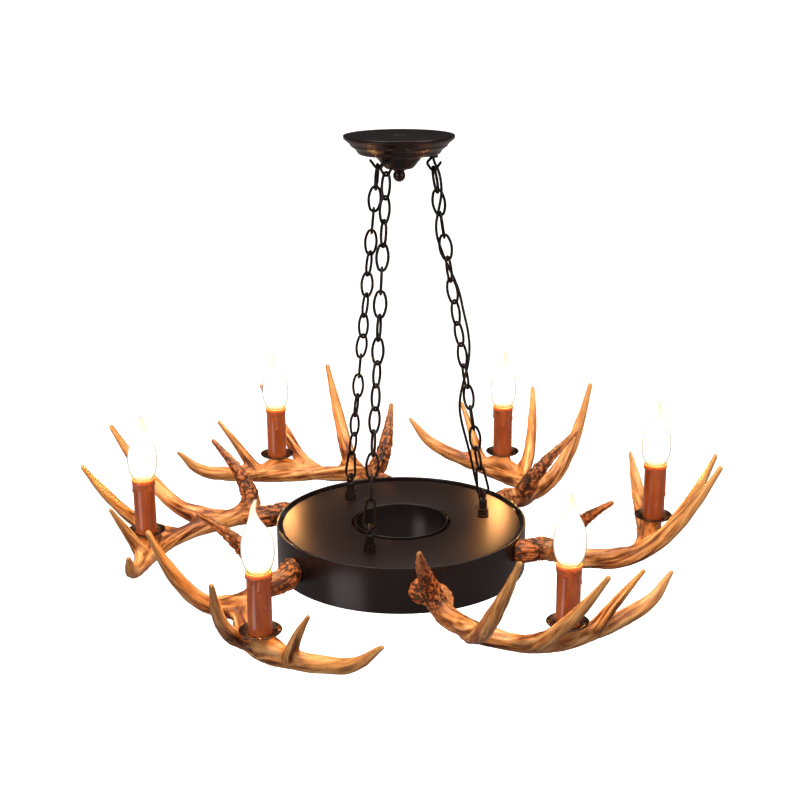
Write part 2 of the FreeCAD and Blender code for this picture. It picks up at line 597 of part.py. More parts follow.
def station(centre, normal, r):
    """A round section wire whose seam stays on its upper side."""
    n = normal * (1.0 / normal.Length)
    up = V(0, 0, 1)
    if abs(n.z) > 0.9:
        up = V(-1, 0.2, 0)
    x = up - n * up.dot(n)
    x = x * (1.0 / x.Length)
    c = Part.Circle(centre, n, r)
    ax = FreeCAD.Matrix()
    c = Part.Circle(V(0, 0, 0), V(0, 0, 1), r).toShape()
    w = Part.Wire([c])
    return moved(w, frame_matrix(centre, x, n))


def limb(rows):
    return Part.makeLoft([station(c, n, r) for c, n, r in rows], True, True)


def antler_solid(lift, own):
    """One antler, raised by lift against its lamp; the seat under the drip tray stays at the lamp's level."""
    up = V(0, 0, lift)
    P = [V(*p) + up + V(*own["end"]) * f for p, f in zip(BEAM, (0, 0, 0, 0, 0.1, 0.5, 1.0))]
    foot = polar(1.0, N["antler_foot"])
    rows = []
    br0, bb = N["burr_radius"], N["beam_radius"]
    z_foot = lift - N["foot_drop"]
    start = polar(N["ring_radius"] + 0.05, N["antler_foot"], z_foot)
    rows.append((start, foot, br0 - 1.2))
    rows.append((start + polar(4.5, N["antler_foot"] + 8.0), polar(1.0, N["antler_foot"] + 9.0), br0 + 0.2))
    rows.append((start + polar(11.0, N["antler_foot"] + 16.0), polar(1.0, N["antler_foot"] + 19.0), br0 - 0.8))
    us = [0.62, 0.95, 1.4, 1.9, 2.35, 2.8, 3.2, 3.6, 4.0, 4.3, 4.65, 5.0, 5.35, 5.65, 5.85, 6.0]
    rs = [bb + 2.0, bb + 1.8, bb + 1.2, bb + 0.2, bb, bb - 1.0, bb - 2.0, bb - 1.6, bb - 1.2, bb - 1.3, bb - 2.0, bb - 3.3, bb - 5.3, bb - 7.2, bb - 8.5, bb - 9.8]
    for u, r in zip(us, rs):
        t = spline(P, min(u + 0.04, 6.0)) - spline(P, max(u - 0.04, 0.0))
        rows.append((spline(P, u), t, r))
    beam = limb(rows)
    limbs = []
    for name, u, mid, tip, rr in TINES:
        a, m, b = spline(P, u), V(*mid) + up + V(*own[name]) * 0.5, V(*tip) + up + V(*own[name])
        pts = []
        k = len(rr)
        for i in range(k):
            f = i / (k - 1.0)
            c = a * ((1 - f) ** 2) + m * (2 * f * (1 - f)) + b * (f * f)
            t = (m - a) * (1 - f) + (b - m) * f
            pts.append((c, t, rr[i]))
        limbs.append(limb(pts))
    xl = N["lamp_radius"]
    seat = limb([(V(xl - 7.5, 0, -28.5 + lift), V(0.35, 0, 1), 9.5), (V(xl - 3.5, 0, -20.5 + lift * 0.7), V(0.3, 0, 1), 12.0),
                 (V(xl - 0.4, 0, -11.5 + lift * 0.3), V(0.05, 0, 1), N["boss_radius"] + 0.8), (V(xl, 0, -1.7), V(0, 0, 1), N["boss_radius"])])
    saddle = limb([(V(xl - 10.0, -24.0, -24.0 + lift), V(0.35, 1, 0.3), 8.0), (V(xl - 3.5, 0, -17.5 + lift * 0.8), V(0.15, 1, 0.02), 10.0),
                   (V(xl - 1.0, 26.0, -22.0 + lift), V(0.05, 1, -0.15), 8.0)])
    solid = beam.fuse(limbs + [seat, saddle])
    tools = [Part.makeCylinder(N["lamp_pipe"] + 0.05, 17.5, V(xl, 0, -16.5))]
    for side in (-0.5, 0.5):
        p = polar(N["ring_radius"] - 1.0, N["antler_foot"], z_foot) + polar(side * N["bolt_spread"], N["antler_foot"] + 90)
        tools.append(Part.makeCylinder(N["bolt_radius"] + 0.05, 12.5, p, foot))
    solid = solid.cut(tools)
    if solid.ShapeType == "Compound":
        solid = max(solid.Solids, key=lambda s_: s_.Volume)
    return solid


WORDS = ("one", "two", "three", "four", "five", "six")
bolts = []
for i, (az, lvl, lift) in enumerate(lamps):
    o = doc.addObject("Part::Feature", "antler_%d_shape" % (i + 1))
    o.Shape = antler_solid(lift, SHIFT[i])
    print("antler", i + 1, o.Shape.ShapeType, len(o.Shape.Solids), "faces", len(o.Shape.Faces), "valid", o.Shape.isValid(), "volume %.0f" % o.Shape.Volume)
    o.Placement = FreeCAD.Placement(V(0, 0, zr + lvl), FreeCAD.Rotation(V(0, 0, 1), az))
    node(o, "antler_%d" % (i + 1))
    foot = az + N["antler_foot"]
    rot = FreeCAD.Rotation(V(0, 0, 1), foot).multiply(FreeCAD.Rotation(V(0, 1, 0), 90))
    inside = math.sqrt((N["ring_radius"] - N["band_wall"]) ** 2 - (N["bolt_spread"] / 2 + 5.0) ** 2)
    for side in (-0.5, 0.5):
        p = polar(inside - 4.1, foot, zr - N["foot_drop"] + lvl + lift) + polar(side * N["bolt_spread"], foot + 90)
        bolt = fuse(cyl(4.8, 4.0), cyl(S["bolt_radius"], S["bolt_reach"], 0, 0, 0.5))
        bolt.Placement = FreeCAD.Placement(p, rot)
        bolts.append(bolt)
group("antler_bolts", bolts)

# ---------------------------------------------------------------- lamps
holders, pipes = [], []
for i, (az, lvl, lift) in enumerate(lamps):
    p = polar(N["lamp_radius"], az, zr + lvl)
    tw = S["tray_wall"]
    tray = revolved("tray%d" % (i + 1), [(S["lamp_pipe"] + 0.3, 0.0), (12.0, 0.0), (19.6, 1.4), (S["tray_radius"], S["tray_rise"] - 0.4), (S["tray_radius"] - 0.5, S["tray_rise"] + 0.4),
                                          (18.8, 2.5), (11.8, tw), (S["lamp_pipe"] + 0.3, tw)], Q(0, "0"))
    tray.setExpression(".Placement.Base.z", None)
    at(tray, p.x, p.y, p.z - 1.6)
    node(tray, "drip_tray_%d" % (i + 1))
    tube = cut(cyl(S["candle_radius"], S["candle_height"] - 0.2, 0, 0, 0.2), cyl(S["candle_bore"], S["candle_height"] + 2, 0, 0, -0.5))
    at(tube, p.x, p.y, p.z)
    node(tube, "candle_sleeve_%d" % (i + 1))
    holder = cut(cut(cyl(S["holder_radius"], S["holder_top"] - 3.6, 0, 0, 3.6), cyl(S["socket_radius"], 27.0, 0, 0, N["holder_top"] - 26.0)),
                 cyl(S["lamp_pipe"] + 0.05, 10.0, 0, 0, 2.0))
    at(holder, p.x, p.y, p.z)
    holders.append(holder)
    pipe = cut(fuse(cyl(S["lamp_pipe"], 27.0, 0, 0, -16.0), prism(8.0, 3.4, -0.4)), cyl(S["pipe_bore"], 40.0, 0, 0, -20.0))
    at(pipe, p.x, p.y, p.z)
    pipes.append(pipe)
group("lampholders", holders)
group("lamp_nipples", pipes)

GLASS = [(62.2, 6.6, 0.0), (64.6, 8.6, 0.0), (67.0, 10.6, 0.0), (68.6, 11.6, 0.0), (70.6, 12.9, 0.0), (74.0, 14.5, 0.0), (79.0, 16.1, 0.0),
         (86.0, 17.3, 0.0), (93.0, 17.5, 0.0), (100.0, 17.0, 0.1), (106.0, 15.7, 0.3), (111.0, 13.8, 0.7), (115.5, 11.4, 1.2), (120.0, 8.7, 1.9),
         (124.5, 6.3, 2.6), (129.0, 4.6, 3.2), (134.0, 3.3, 3.4), (138.5, 2.6, 2.7), (142.0, 2.1, 1.6), (145.5, 1.3, 0.2)]
LEAN = (0.0, 180.0, 180.0, 0.0, 10.0, 60.0)


def glass_solid():
    k = N["bulb_radius"] / 17.5
    kt = N["bulb_tip"] / 145.5
    outer_ = Part.makeLoft([Part.Wire([Part.Circle(V(x, 0, z * kt), V(0, 0, 1), r * k).toShape()]) for z, r, x in GLASS], True, False)
    inner_ = Part.makeLoft([Part.Wire([Part.Circle(V(x, 0, (z + (0.8 if j == 0 else 0)) * kt), V(0, 0, 1), (r - 0.9) * k).toShape()]) for j, (z, r, x) in enumerate(GLASS[:-1])], True, False)
    return outer_.cut(inner_)


BULB = glass_solid()
print("glass", BULB.ShapeType, len(BULB.Solids), BULB.isValid(), "volume %.0f" % BULB.Volume)
for i, (az, lvl, lift) in enumerate(lamps):
    p = polar(N["lamp_radius"], az, zr + lvl)
    o = doc.addObject("Part::Feature", "glass_%d_shape" % (i + 1))
    o.Shape = BULB
    o.Placement = FreeCAD.Placement(p, FreeCAD.Rotation(V(0, 0, 1), LEAN[i]))
    node(o, "bulb_glass_%d" % (i + 1))
    capo = fuse(cyl(S["cap_radius"], S["cap_length"] - 3.0, 0, 0, N["holder_top"] - N["cap_length"] + 3.1), cone(3.4, 6.0, 3.0, N["holder_top"] - N["cap_length"] + 0.1))
    at(capo, p.x, p.y, p.z)
    node(capo, "bulb_cap_%d" % (i + 1))

# ---------------------------------------------------------------- check and write
doc.recompute()
bad = 0
for o in doc.Objects:
    if "Invalid" in o.State or "Error" in o.State:
        print("BROKEN", o.Name, o.State)
        bad += 1
labels = set()
for o in keep:
    sh = o.Shape
    if sh.isNull() or not sh.isValid() or not sh.Solids:
        print("BAD SHAPE", o.Label, sh.isNull())
        bad += 1
    if o.Label in labels or len(o.Label) > 59:
        print("BAD LABEL", o.Label)
        bad += 1
    labels.add(o.Label)
if bad or len(keep) > 60:
    raise SystemExit("model has %d faults, %d nodes" % (bad, len(keep)))
for o in keep:
    o.Shape.exportStep("parts/%s.step" % o.Label)
print(len(keep), "nodes written")
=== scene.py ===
import json
import math

import bmesh
import bpy
import numpy as np
from mathutils import Matrix, Vector

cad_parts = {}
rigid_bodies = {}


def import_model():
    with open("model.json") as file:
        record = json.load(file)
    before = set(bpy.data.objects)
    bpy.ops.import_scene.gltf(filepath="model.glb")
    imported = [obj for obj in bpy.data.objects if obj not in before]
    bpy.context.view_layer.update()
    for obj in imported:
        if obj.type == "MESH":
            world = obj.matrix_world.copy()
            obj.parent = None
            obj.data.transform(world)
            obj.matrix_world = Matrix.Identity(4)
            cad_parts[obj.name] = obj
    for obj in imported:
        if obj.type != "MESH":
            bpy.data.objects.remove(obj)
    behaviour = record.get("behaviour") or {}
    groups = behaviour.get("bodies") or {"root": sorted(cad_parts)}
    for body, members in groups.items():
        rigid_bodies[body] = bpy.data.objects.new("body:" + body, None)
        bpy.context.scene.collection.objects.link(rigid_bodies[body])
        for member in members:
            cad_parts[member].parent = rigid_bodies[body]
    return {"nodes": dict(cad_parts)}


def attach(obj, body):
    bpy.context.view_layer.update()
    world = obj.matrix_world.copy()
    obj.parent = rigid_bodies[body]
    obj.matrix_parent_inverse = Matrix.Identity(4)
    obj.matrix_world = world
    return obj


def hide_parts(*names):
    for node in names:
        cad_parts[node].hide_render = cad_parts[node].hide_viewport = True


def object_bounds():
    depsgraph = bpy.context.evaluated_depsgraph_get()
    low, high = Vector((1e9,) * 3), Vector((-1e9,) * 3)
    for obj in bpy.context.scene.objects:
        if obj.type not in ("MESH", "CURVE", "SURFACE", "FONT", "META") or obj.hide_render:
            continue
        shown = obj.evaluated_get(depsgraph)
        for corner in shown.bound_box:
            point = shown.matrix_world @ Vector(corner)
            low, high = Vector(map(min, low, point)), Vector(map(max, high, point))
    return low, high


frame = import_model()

MM = 0.001
CAD_BOX = [list(map(float, c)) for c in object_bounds()]
scene = bpy.context.scene
for o in list(scene.objects):
    if o.type in ("LIGHT", "CAMERA"):
        bpy.data.objects.remove(o, do_unlink=True)
NODES = frame["nodes"]

# ------------------------------------------------------------------ camera
cam = bpy.data.objects.new("Camera", bpy.data.cameras.new("Camera"))
scene.collection.objects.link(cam)
cam.data.sensor_width = 36.0
cam.data.lens = 64.85
cam.data.clip_start, cam.data.clip_end = 0.05, 400.0
cam.location = (0.0, -1.626, 0.1816)
cam.rotation_mode = "XYZ"
look = Matrix.Rotation(math.radians(0.02), 4, "Z") @ Matrix.Rotation(math.radians(90.0 - 16.80), 4, "X") @ Matrix.Rotation(math.radians(-0.32), 4, "Z")
cam.rotation_euler = look.to_euler("XYZ")
scene.camera = cam

# ------------------------------------------------------------------ supply cable: one smooth line through the route's points
HOOK_R, HOOK_Z, EYE_R, EYE_Z = 39.5, -40.0, 101.0, -430.0


def polar(r, az, z=0.0):
    a = math.radians(az)
    return Vector((r * math.cos(a), r * math.sin(a), z))


ROUTE = []
bush = polar(37.6, -9.0)
ROUTE.append((bush.x, bush.y, -13.5))
ROUTE.append((bush.x + 0.3, bush.y + 0.3, -27.0))
h0, e0 = polar(HOOK_R, 9.0, HOOK_Z), polar(EYE_R, 9.0, EYE_Z)
along = (e0 - h0).normalized()
aside = (Vector((1, 0, 0)) - along * along.x).normalized()
ahead = along.cross(aside)
for s, u, v in [(-1, 5.2, 9.5), (13, 6.2, 8.4), (28, 4.6, 7.2), (46, -2.0, 6.6), (62, -7.4, 2.6), (78, -8.2, -3.2), (95, -5.2, -8.6), (112, -1.6, -11.0),
                (130, 4.4, -9.6), (148, 8.2, -5.6), (168, 9.0, -1.6), (190, 11.0, 1.2), (211, 10.2, 5.4), (230, 5.4, 9.6), (250, -3.4, 11.2),
                (270, -10.6, 7.6), (289, -13.4, 1.6), (308, -12.8, -3.4), (328, -10.8, -7.2), (349, -9.0, -11.4), (370, -8.0, -16.0), (391, -7.0, -21.0)]:
    ROUTE.append(tuple(h0 + along * s + aside * u + ahead * v))
ROUTE.append((98.4, 43.4, -449.0))
ROUTE.append((98.0, 44.0, -470.0))
cu = bpy.data.curves.new("supply_cord", "CURVE")
cu.dimensions = "3D"
sp = cu.splines.new("NURBS")
sp.points.add(len(ROUTE) - 1)
for p, q in zip(sp.points, ROUTE):
    p.co = (q[0] * MM, q[1] * MM, q[2] * MM, 1.0)
    p.radius = 0.01  # the point radius widens the curve's bounding box, so it is small and bevel_depth makes up for it
sp.order_u = 3
sp.use_endpoint_u = True
sp.resolution_u = 10
cu.bevel_depth = 1.6 * MM / 0.01
cu.bevel_resolution = 6
cu.use_fill_caps = True
cord = bpy.data.objects.new("supply_cord", cu)
scene.collection.objects.link(cord)
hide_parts("supply_cable")
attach(cord, "chain_run_right")


# ------------------------------------------------------------------ number helpers
def hashed(ix, iy, iz, seed):
    with np.errstate(over="ignore"):
        h = (ix.astype(np.int64) * 374761393 + iy.astype(np.int64) * 668265263 + iz.astype(np.int64) * 1442695041 + seed * 144665) & 0xFFFFFFFF
        h = ((h ^ (h >> 13)) * 1274126177) & 0xFFFFFFFF
        h = ((h ^ (h >> 15)) * 2246822519) & 0xFFFFFFFF
        h = h ^ (h >> 16)
    return h / 4294967296.0


def noise(x, y, z, seed=0):
    """Smooth value noise, 0 to 1."""
    ix, iy, iz = np.floor(x), np.floor(y), np.floor(z)
    fx, fy, fz = x - ix, y - iy, z - iz
    fx, fy, fz = (f * f * f * (f * (f * 6 - 15) + 10) for f in (fx, fy, fz))
    out = 0.0
    for dx in (0, 1):
        for dy in (0, 1):
            for dz in (0, 1):
                w = (fx if dx else 1 - fx) * (fy if dy else 1 - fy) * (fz if dz else 1 - fz)
                out = out + w * hashed(ix + dx, iy + dy, iz + dz, seed)
    return out


def fbm(x, y, z, seed=0, octaves=3):
    t, a, s = 0.0, 1.0, 0.0
    for k in range(octaves):
        t = t + a * noise(x * 2 ** k + 13.7 * k, y * 2 ** k + 5.1 * k, z * 2 ** k + 9.3 * k, seed + k)
        s += a
        a *= 0.5
    return t / s


def ridged(x, y, z, seed=0):
    """1 along thin lines, falling to 0 away from them."""
    return 1.0 - np.abs(noise(x, y, z, seed) * 2 - 1)


def cells(x, y, z, seed=0):
    """Distance to the nearest of scattered points, about one per unit cube."""
    ix, iy, iz = np.floor(x), np.floor(y), np.floor(z)
    best = np.full(np.shape(x), 9.0)
    for dx in (-1, 0, 1):
        for dy in (-1, 0, 1):
            for dz in (-1, 0, 1):
                cx, cy, cz = ix + dx, iy + dy, iz + dz
                px = cx + hashed(cx, cy, cz, seed)
                py = cy + hashed(cx, cy, cz, seed + 71)
                pz = cz + hashed(cx, cy, cz, seed + 137)
                best = np.minimum(best, (px - x) ** 2 + (py - y) ** 2 + (pz - z) ** 2)
    return np.sqrt(best)


def mesh_object(name, verts, faces, smooth=True):
    me = bpy.data.meshes.new(name)
    me.from_pydata([tuple(map(float, v)) for v in verts], [], faces)
    me.validate()
    if smooth:
        me.polygons.foreach_set("use_smooth", [True] * len(me.polygons))
    ob = bpy.data.objects.new(name, me)
    scene.collection.objects.link(ob)
    return ob


def mend(ob, sharp=None):
    bm = bmesh.new()
    bm.from_mesh(ob.data)
    bmesh.ops.recalc_face_normals(bm, faces=bm.faces)
    bm.to_mesh(ob.data)
    bm.free()
    ob.data.polygons.foreach_set("use_smooth", [True] * len(ob.data.polygons))
    if sharp is not None:
        ob.data.set_sharp_from_angle(angle=math.radians(sharp))


def rounded(pts, r):
    """A closed profile with its corners eased; r is one radius or one for each corner."""
    out, n = [], len(pts)
    for i, p in enumerate(pts):
        a, b = np.array(pts[i - 1], float), np.array(pts[(i + 1) % n], float)
        p = np.array(p, float)
        rr = r[i] if isinstance(r, (list, tuple)) else r
        la, lb = np.linalg.norm(a - p), np.linalg.norm(b - p)
        rr = min(rr, la * 0.45, lb * 0.45)
        if rr < 1e-6:
            out.append(tuple(p))
            continue
        s, e = p + (a - p) / la * rr, p + (b - p) / lb * rr
        for f in (0.0, 0.25, 0.5, 0.75, 1.0):
            out.append(tuple(s * (1 - f) ** 2 + p * 2 * f * (1 - f) + e * f * f))
    return out


def lathe(name, profile, n=128, shift=(0, 0, 0), wave=None):
    """A closed profile of (radius, height) in mm turned about the vertical axis."""
    prof = np.array(profile, float)
    m = len(prof)
    th = np.linspace(0, 2 * math.pi, n, endpoint=False)
    r, z = prof[:, 0][:, None] + 0 * th, prof[:, 1][:, None] + 0 * th
    if wave is not None:
        r, z = wave(r, z, th[None, :] + 0 * r)
    v = np.stack([r * np.cos(th), r * np.sin(th), z], 2).reshape(-1, 3) + np.array(shift, float)
    faces = []
    for i in range(m):
        j = (i + 1) % m
        for k in range(n):
            q = (k + 1) % n
            faces.append((i * n + k, i * n + q, j * n + q, j * n + k))
    ob = mesh_object(name, v * MM, faces)
    mend(ob)
    return ob


def attribute(ob, name, values):
    at = ob.data.attributes.new(name, "FLOAT", "POINT")
    at.data.foreach_set("value", np.asarray(values, np.float32))


# ------------------------------------------------------------------ materials
class Nodes:
    """A short way to write a material's node tree."""

    def __init__(self, name):
        self.mat = bpy.data.materials.new(name)
        self.mat.use_nodes = True
        self.t = self.mat.node_tree
        self.t.nodes.clear()
        self.out = self.t.nodes.new("ShaderNodeOutputMaterial")
        self.b = self.t.nodes.new("ShaderNodeBsdfPrincipled")
        self.t.links.new(self.b.outputs[0], self.out.inputs[0])
        self.coord = None

    def new(self, kind, **props):
        n = self.t.nodes.new("ShaderNode" + kind)
        for k, v in props.items():
            setattr(n, k, v)
        return n

    def link(self, a, b):
        self.t.links.new(a, b)

    def obj(self):
        if self.coord is None:
            self.coord = self.new("TexCoord")
        return self.coord.outputs["Object"]

    def scaled(self, sx, sy, sz):
        m = self.new("Mapping")
        m.inputs["Scale"].default_value = (sx, sy, sz)
        self.link(self.obj(), m.inputs["Vector"])
        return m.outputs[0]

    def noise(self, scale, detail=3.0, rough=0.55, vector=None, distortion=0.0):
        n = self.new("TexNoise")
        n.inputs["Scale"].default_value = scale
        n.inputs["Detail"].default_value = detail
        n.inputs["Roughness"].default_value = rough
        n.inputs["Distortion"].default_value = distortion
        self.link(vector if vector is not None else self.obj(), n.inputs["Vector"])
        return n.outputs["Fac"]

    def voronoi(self, scale, vector=None, feature="F1"):
        n = self.new("TexVoronoi", feature=feature)
        n.inputs["Scale"].default_value = scale
        self.link(vector if vector is not None else self.obj(), n.inputs["Vector"])
        return n.outputs["Distance"]

    def attr(self, name):
        n = self.new("Attribute", attribute_type="GEOMETRY")
        n.attribute_name = name
        return n.outputs["Fac"]

    def ramp(self, fac, stops, interpolation="LINEAR"):
        n = self.new("ValToRGB")
        n.color_ramp.interpolation = interpolation
        el = n.color_ramp.elements
        while len(el) > 1:
            el.remove(el[-1])
        el[0].position, el[0].color = stops[0][0], (*stops[0][1], 1.0)
        for p, c in stops[1:]:
            e = el.new(p)
            e.color = (*c, 1.0)
        self.link(fac, n.inputs[0])
        return n.outputs[0]

    def span(self, value, a, b, c=0.0, d=1.0):
        n = self.new("MapRange")
        for k, v in zip(("From Min", "From Max", "To Min", "To Max"), (a, b, c, d)):
            n.inputs[k].default_value = v
        self.link(value, n.inputs["Value"])
        return n.outputs[0]

    def math(self, op, a, b=None):
        n = self.new("Math", operation=op)
        for i, v in enumerate((a, b)):
            if v is None:
                continue
            if isinstance(v, (int, float)):
                n.inputs[i].default_value = v
            else:
                self.link(v, n.inputs[i])
        return n.outputs[0]

    def mix(self, fac, a, b, blend="MIX"):
        n = self.new("Mix", data_type="RGBA", blend_type=blend)
        for i, v in ((0, fac), (6, a), (7, b)):
            if isinstance(v, (int, float)):
                n.inputs[i].default_value = v
            elif isinstance(v, tuple):
                n.inputs[i].default_value = (*v, 1.0)
            else:
                self.link(v, n.inputs[i])
        return n.outputs[2]

    def bump(self, height, strength, distance, chain=None):
        n = self.new("Bump")
        n.inputs["Strength"].default_value = strength
        n.inputs["Distance"].default_value = distance
        self.link(height, n.inputs["Height"])
        if chain is not None:
            self.link(chain, n.inputs["Normal"])
        return n.outputs[0]

    def set(self, **values):
        for k, v in values.items():
            s = self.b.inputs[k.replace("_", " ")]
            if isinstance(v, (int, float)):
                s.default_value = v
            elif isinstance(v, tuple):
                s.default_value = (*v, 1.0) if len(v) == 3 and s.type == "RGBA" else v
            else:
                self.link(v, s)
        return self


def painted(name, base, worn, rough, scale=260.0, bump=0.06, metallic=0.0, spec=0.5, patch=0.35):
    m = Nodes(name)
    big = m.noise(scale * 0.12, 3.0)
    fine = m.noise(scale, 4.0, 0.6)
    tint = m.mix(m.span(big, 0.38, 0.66), base, worn)
    col = m.mix(m.span(fine, 0.55, 0.78, 0.0, patch), tint, tuple(min(1.0, c * 1.9 + 0.01) for c in worn))
    r = m.span(m.noise(scale * 0.5, 3.0), 0.3, 0.7, rough - 0.06, rough + 0.08)
    m.set(Base_Color=col, Roughness=r, Metallic=metallic, Specular_IOR_Level=spec)
    m.set(Normal=m.bump(fine, bump, 0.0004))
    return m.mat


def satin(name, base, tint, rough, spec=0.5, metallic=0.0, coat=0.0):
    """Smooth sprayed finish: slow drifts of tint and gloss, hardly any relief."""
    m = Nodes(name)
    slow = m.noise(9.0, 2.0)
    fine = m.noise(420.0, 3.0, 0.5)
    m.set(Base_Color=m.mix(m.span(slow, 0.35, 0.65), base, tint), Roughness=m.span(slow, 0.3, 0.7, rough - 0.015, rough + 0.02), Metallic=metallic, Specular_IOR_Level=spec)
    if coat:
        m.set(Coat_Weight=coat, Coat_Roughness=0.12)
    m.set(Normal=m.bump(fine, 0.012, 0.0002))
    return m.mat


def antler_material():
    m = Nodes("antler_resin")
    tone, dark_lines_and_shade, burr, tip = m.attr("tone"), m.attr("dark_lines_and_shade"), m.attr("burr"), m.attr("tip")
    speck = m.noise(850.0, 3.0, 0.6)
    wide = m.noise(55.0, 3.0, 0.5)
    shade = m.math("ADD", tone, m.span(wide, 0.3, 0.7, -0.09, 0.09))
    shade = m.math("ADD", shade, m.span(speck, 0.3, 0.7, -0.035, 0.035))
    base = m.ramp(shade, [(0.0, (0.055, 0.013, 0.003)), (0.22, (0.155, 0.044, 0.010)), (0.48, (0.355, 0.134, 0.034)), (0.74, (0.490, 0.222, 0.068)), (1.0, (0.640, 0.350, 0.140))])
    base = m.mix(m.math("MULTIPLY", tip, 0.45), base, (0.480, 0.240, 0.076))
    # the burr's own dark brown, deepened to near black in the crevices between the pearls as painted shade
    pit = m.attr("pit")
    rough_pit = m.math("ADD", pit, m.span(m.noise(420.0, 3.0, 0.6), 0.3, 0.7, -0.16, 0.16))
    dark = m.ramp(rough_pit, [(0.0, (0.375, 0.112, 0.028)), (0.30, (0.200, 0.051, 0.012)), (0.62, (0.042, 0.010, 0.003)), (1.0, (0.012, 0.004, 0.001))])
    base = m.mix(m.math("MULTIPLY", burr, 0.92), base, dark)
    chalk = m.math("MULTIPLY", m.span(m.noise(190.0, 4.0, 0.7), 0.60, 0.70), m.attr("chalk"))
    base = m.mix(chalk, base, (0.46, 0.36, 0.29))
    # painted shade: near black in the relief's hollows and where the limbs meet, and darker along the cut groove lines
    col = m.mix(dark_lines_and_shade, base, (0.030, 0.008, 0.003))
    rough = m.math("ADD", m.span(m.noise(140.0, 3.0), 0.3, 0.7, 0.34, 0.46), m.math("MULTIPLY", burr, 0.08))
    m.set(Base_Color=col, Roughness=rough, Specular_IOR_Level=0.20, Subsurface_Weight=0.0)
    grain = m.bump(m.noise(600.0, 4.0, 0.65), 0.10, 0.0005)
    m.set(Normal=grain)
    return m.mat


def sleeve_material():
    m = Nodes("candle_wax_tube")
    drip, glow = m.attr("drip"), m.attr("glow")
    n = m.noise(95.0, 3.0, 0.5, m.scaled(1.0, 1.0, 0.25))
    base = m.ramp(n, [(0.25, (0.175, 0.032, 0.006)), (0.5, (0.265, 0.053, 0.011)), (0.75, (0.365, 0.085, 0.018))])
    base = m.mix(m.math("MULTIPLY", drip, 0.45), base, (0.340, 0.080, 0.018))
    # painted light: the bulb's glow warms the base colour at the top rim and up the inner wall
    base = m.mix(m.math("MULTIPLY", glow, 0.6), base, (0.62, 0.14, 0.03))
    m.set(Base_Color=base, Roughness=m.span(m.noise(210.0, 3.0), 0.3, 0.7, 0.17, 0.27), Specular_IOR_Level=0.55)
    m.set(Coat_Weight=0.35, Coat_Roughness=0.12)
    # painted light: the sleeve emits the bulb's glow at its rim and inner wall, though it is no lamp
    m.set(Emission_Color=m.ramp(glow, [(0.0, (0.0, 0.0, 0.0)), (0.45, (0.55, 0.055, 0.004)), (0.85, (1.0, 0.20, 0.02)), (1.0, (1.0, 0.48, 0.10))]), Emission_Strength=0.9)
    m.set(Normal=m.bump(m.noise(420.0, 3.0, 0.6), 0.05, 0.0004))
    return m.mat


def bulb_material():
    m = Nodes("bulb_glass")
    sep = m.new("SeparateXYZ")
    m.link(m.obj(), sep.inputs[0])
    return m, sep.outputs["Z"]


def glow_material(name, z0):
    """Lit frosted glass: white hot in the belly, amber where it leaves the sleeve and at the drawn tip."""
    m, z = bulb_material()
    m.mat.name = name
    h = m.span(z, z0 + 0.062, z0 + 0.146)
    uneven = m.math("ADD", h, m.span(m.noise(60.0, 2.0), 0.3, 0.7, -0.012, 0.012))
    col = m.ramp(uneven, [(0.0, (1.0, 0.30, 0.03)), (0.085, (1.0, 0.52, 0.12)), (0.125, (1.0, 0.80, 0.42)), (0.18, (1.0, 0.93, 0.75)), (0.28, (1.0, 0.95, 0.85)), (0.62, (1.0, 0.95, 0.85)), (0.74, (1.0, 0.93, 0.79)), (0.88, (1.0, 0.90, 0.70)), (1.0, (1.0, 0.84, 0.58))])
    power = m.ramp(uneven, [(0.0, (0.55, 0.55, 0.55)), (0.085, (0.90, 0.90, 0.90)), (0.20, (1.5, 1.5, 1.5)), (0.60, (1.4, 1.4, 1.4)), (0.72, (1.0, 1.0, 1.0)), (0.86, (0.88, 0.88, 0.88)), (1.0, (0.80, 0.80, 0.80))])
    rgb = m.new("RGBToBW")
    m.link(power, rgb.inputs[0])
    lw = m.new("LayerWeight")
    lw.inputs["Blend"].default_value = 0.5
    limb = m.span(lw.outputs["Facing"], 0.50, 0.78, 1.0, 0.12)
    m.set(Base_Color=m.mix(m.span(m.noise(300.0, 2.0), 0.3, 0.7), (0.20, 0.17, 0.14), (0.24, 0.21, 0.17)), Roughness=0.30, IOR=1.25, Specular_IOR_Level=0.3, Emission_Color=col, Emission_Strength=m.math("MULTIPLY", rgb.outputs[0], limb))
    return m.mat


def cast(name, base, edge, rough, metallic=1.0, scale=220.0, bump=0.08):
    """Bronzed or blackened metal with lighter rubbed patches."""
    m = Nodes(name)
    n = m.noise(scale * 0.2, 4.0, 0.6)
    fine = m.noise(scale * 2.2, 3.0, 0.6)
    col = m.mix(m.span(n, 0.42, 0.68), base, edge)
    col = m.mix(m.span(fine, 0.5, 0.8, 0.0, 0.30), col, tuple(c * 0.5 for c in base))
    m.set(Base_Color=col, Metallic=metallic, Roughness=m.span(m.noise(scale, 3.0), 0.3, 0.7, rough - 0.05, rough + 0.07))
    m.set(Normal=m.bump(fine, bump, 0.0003))
    return m.mat


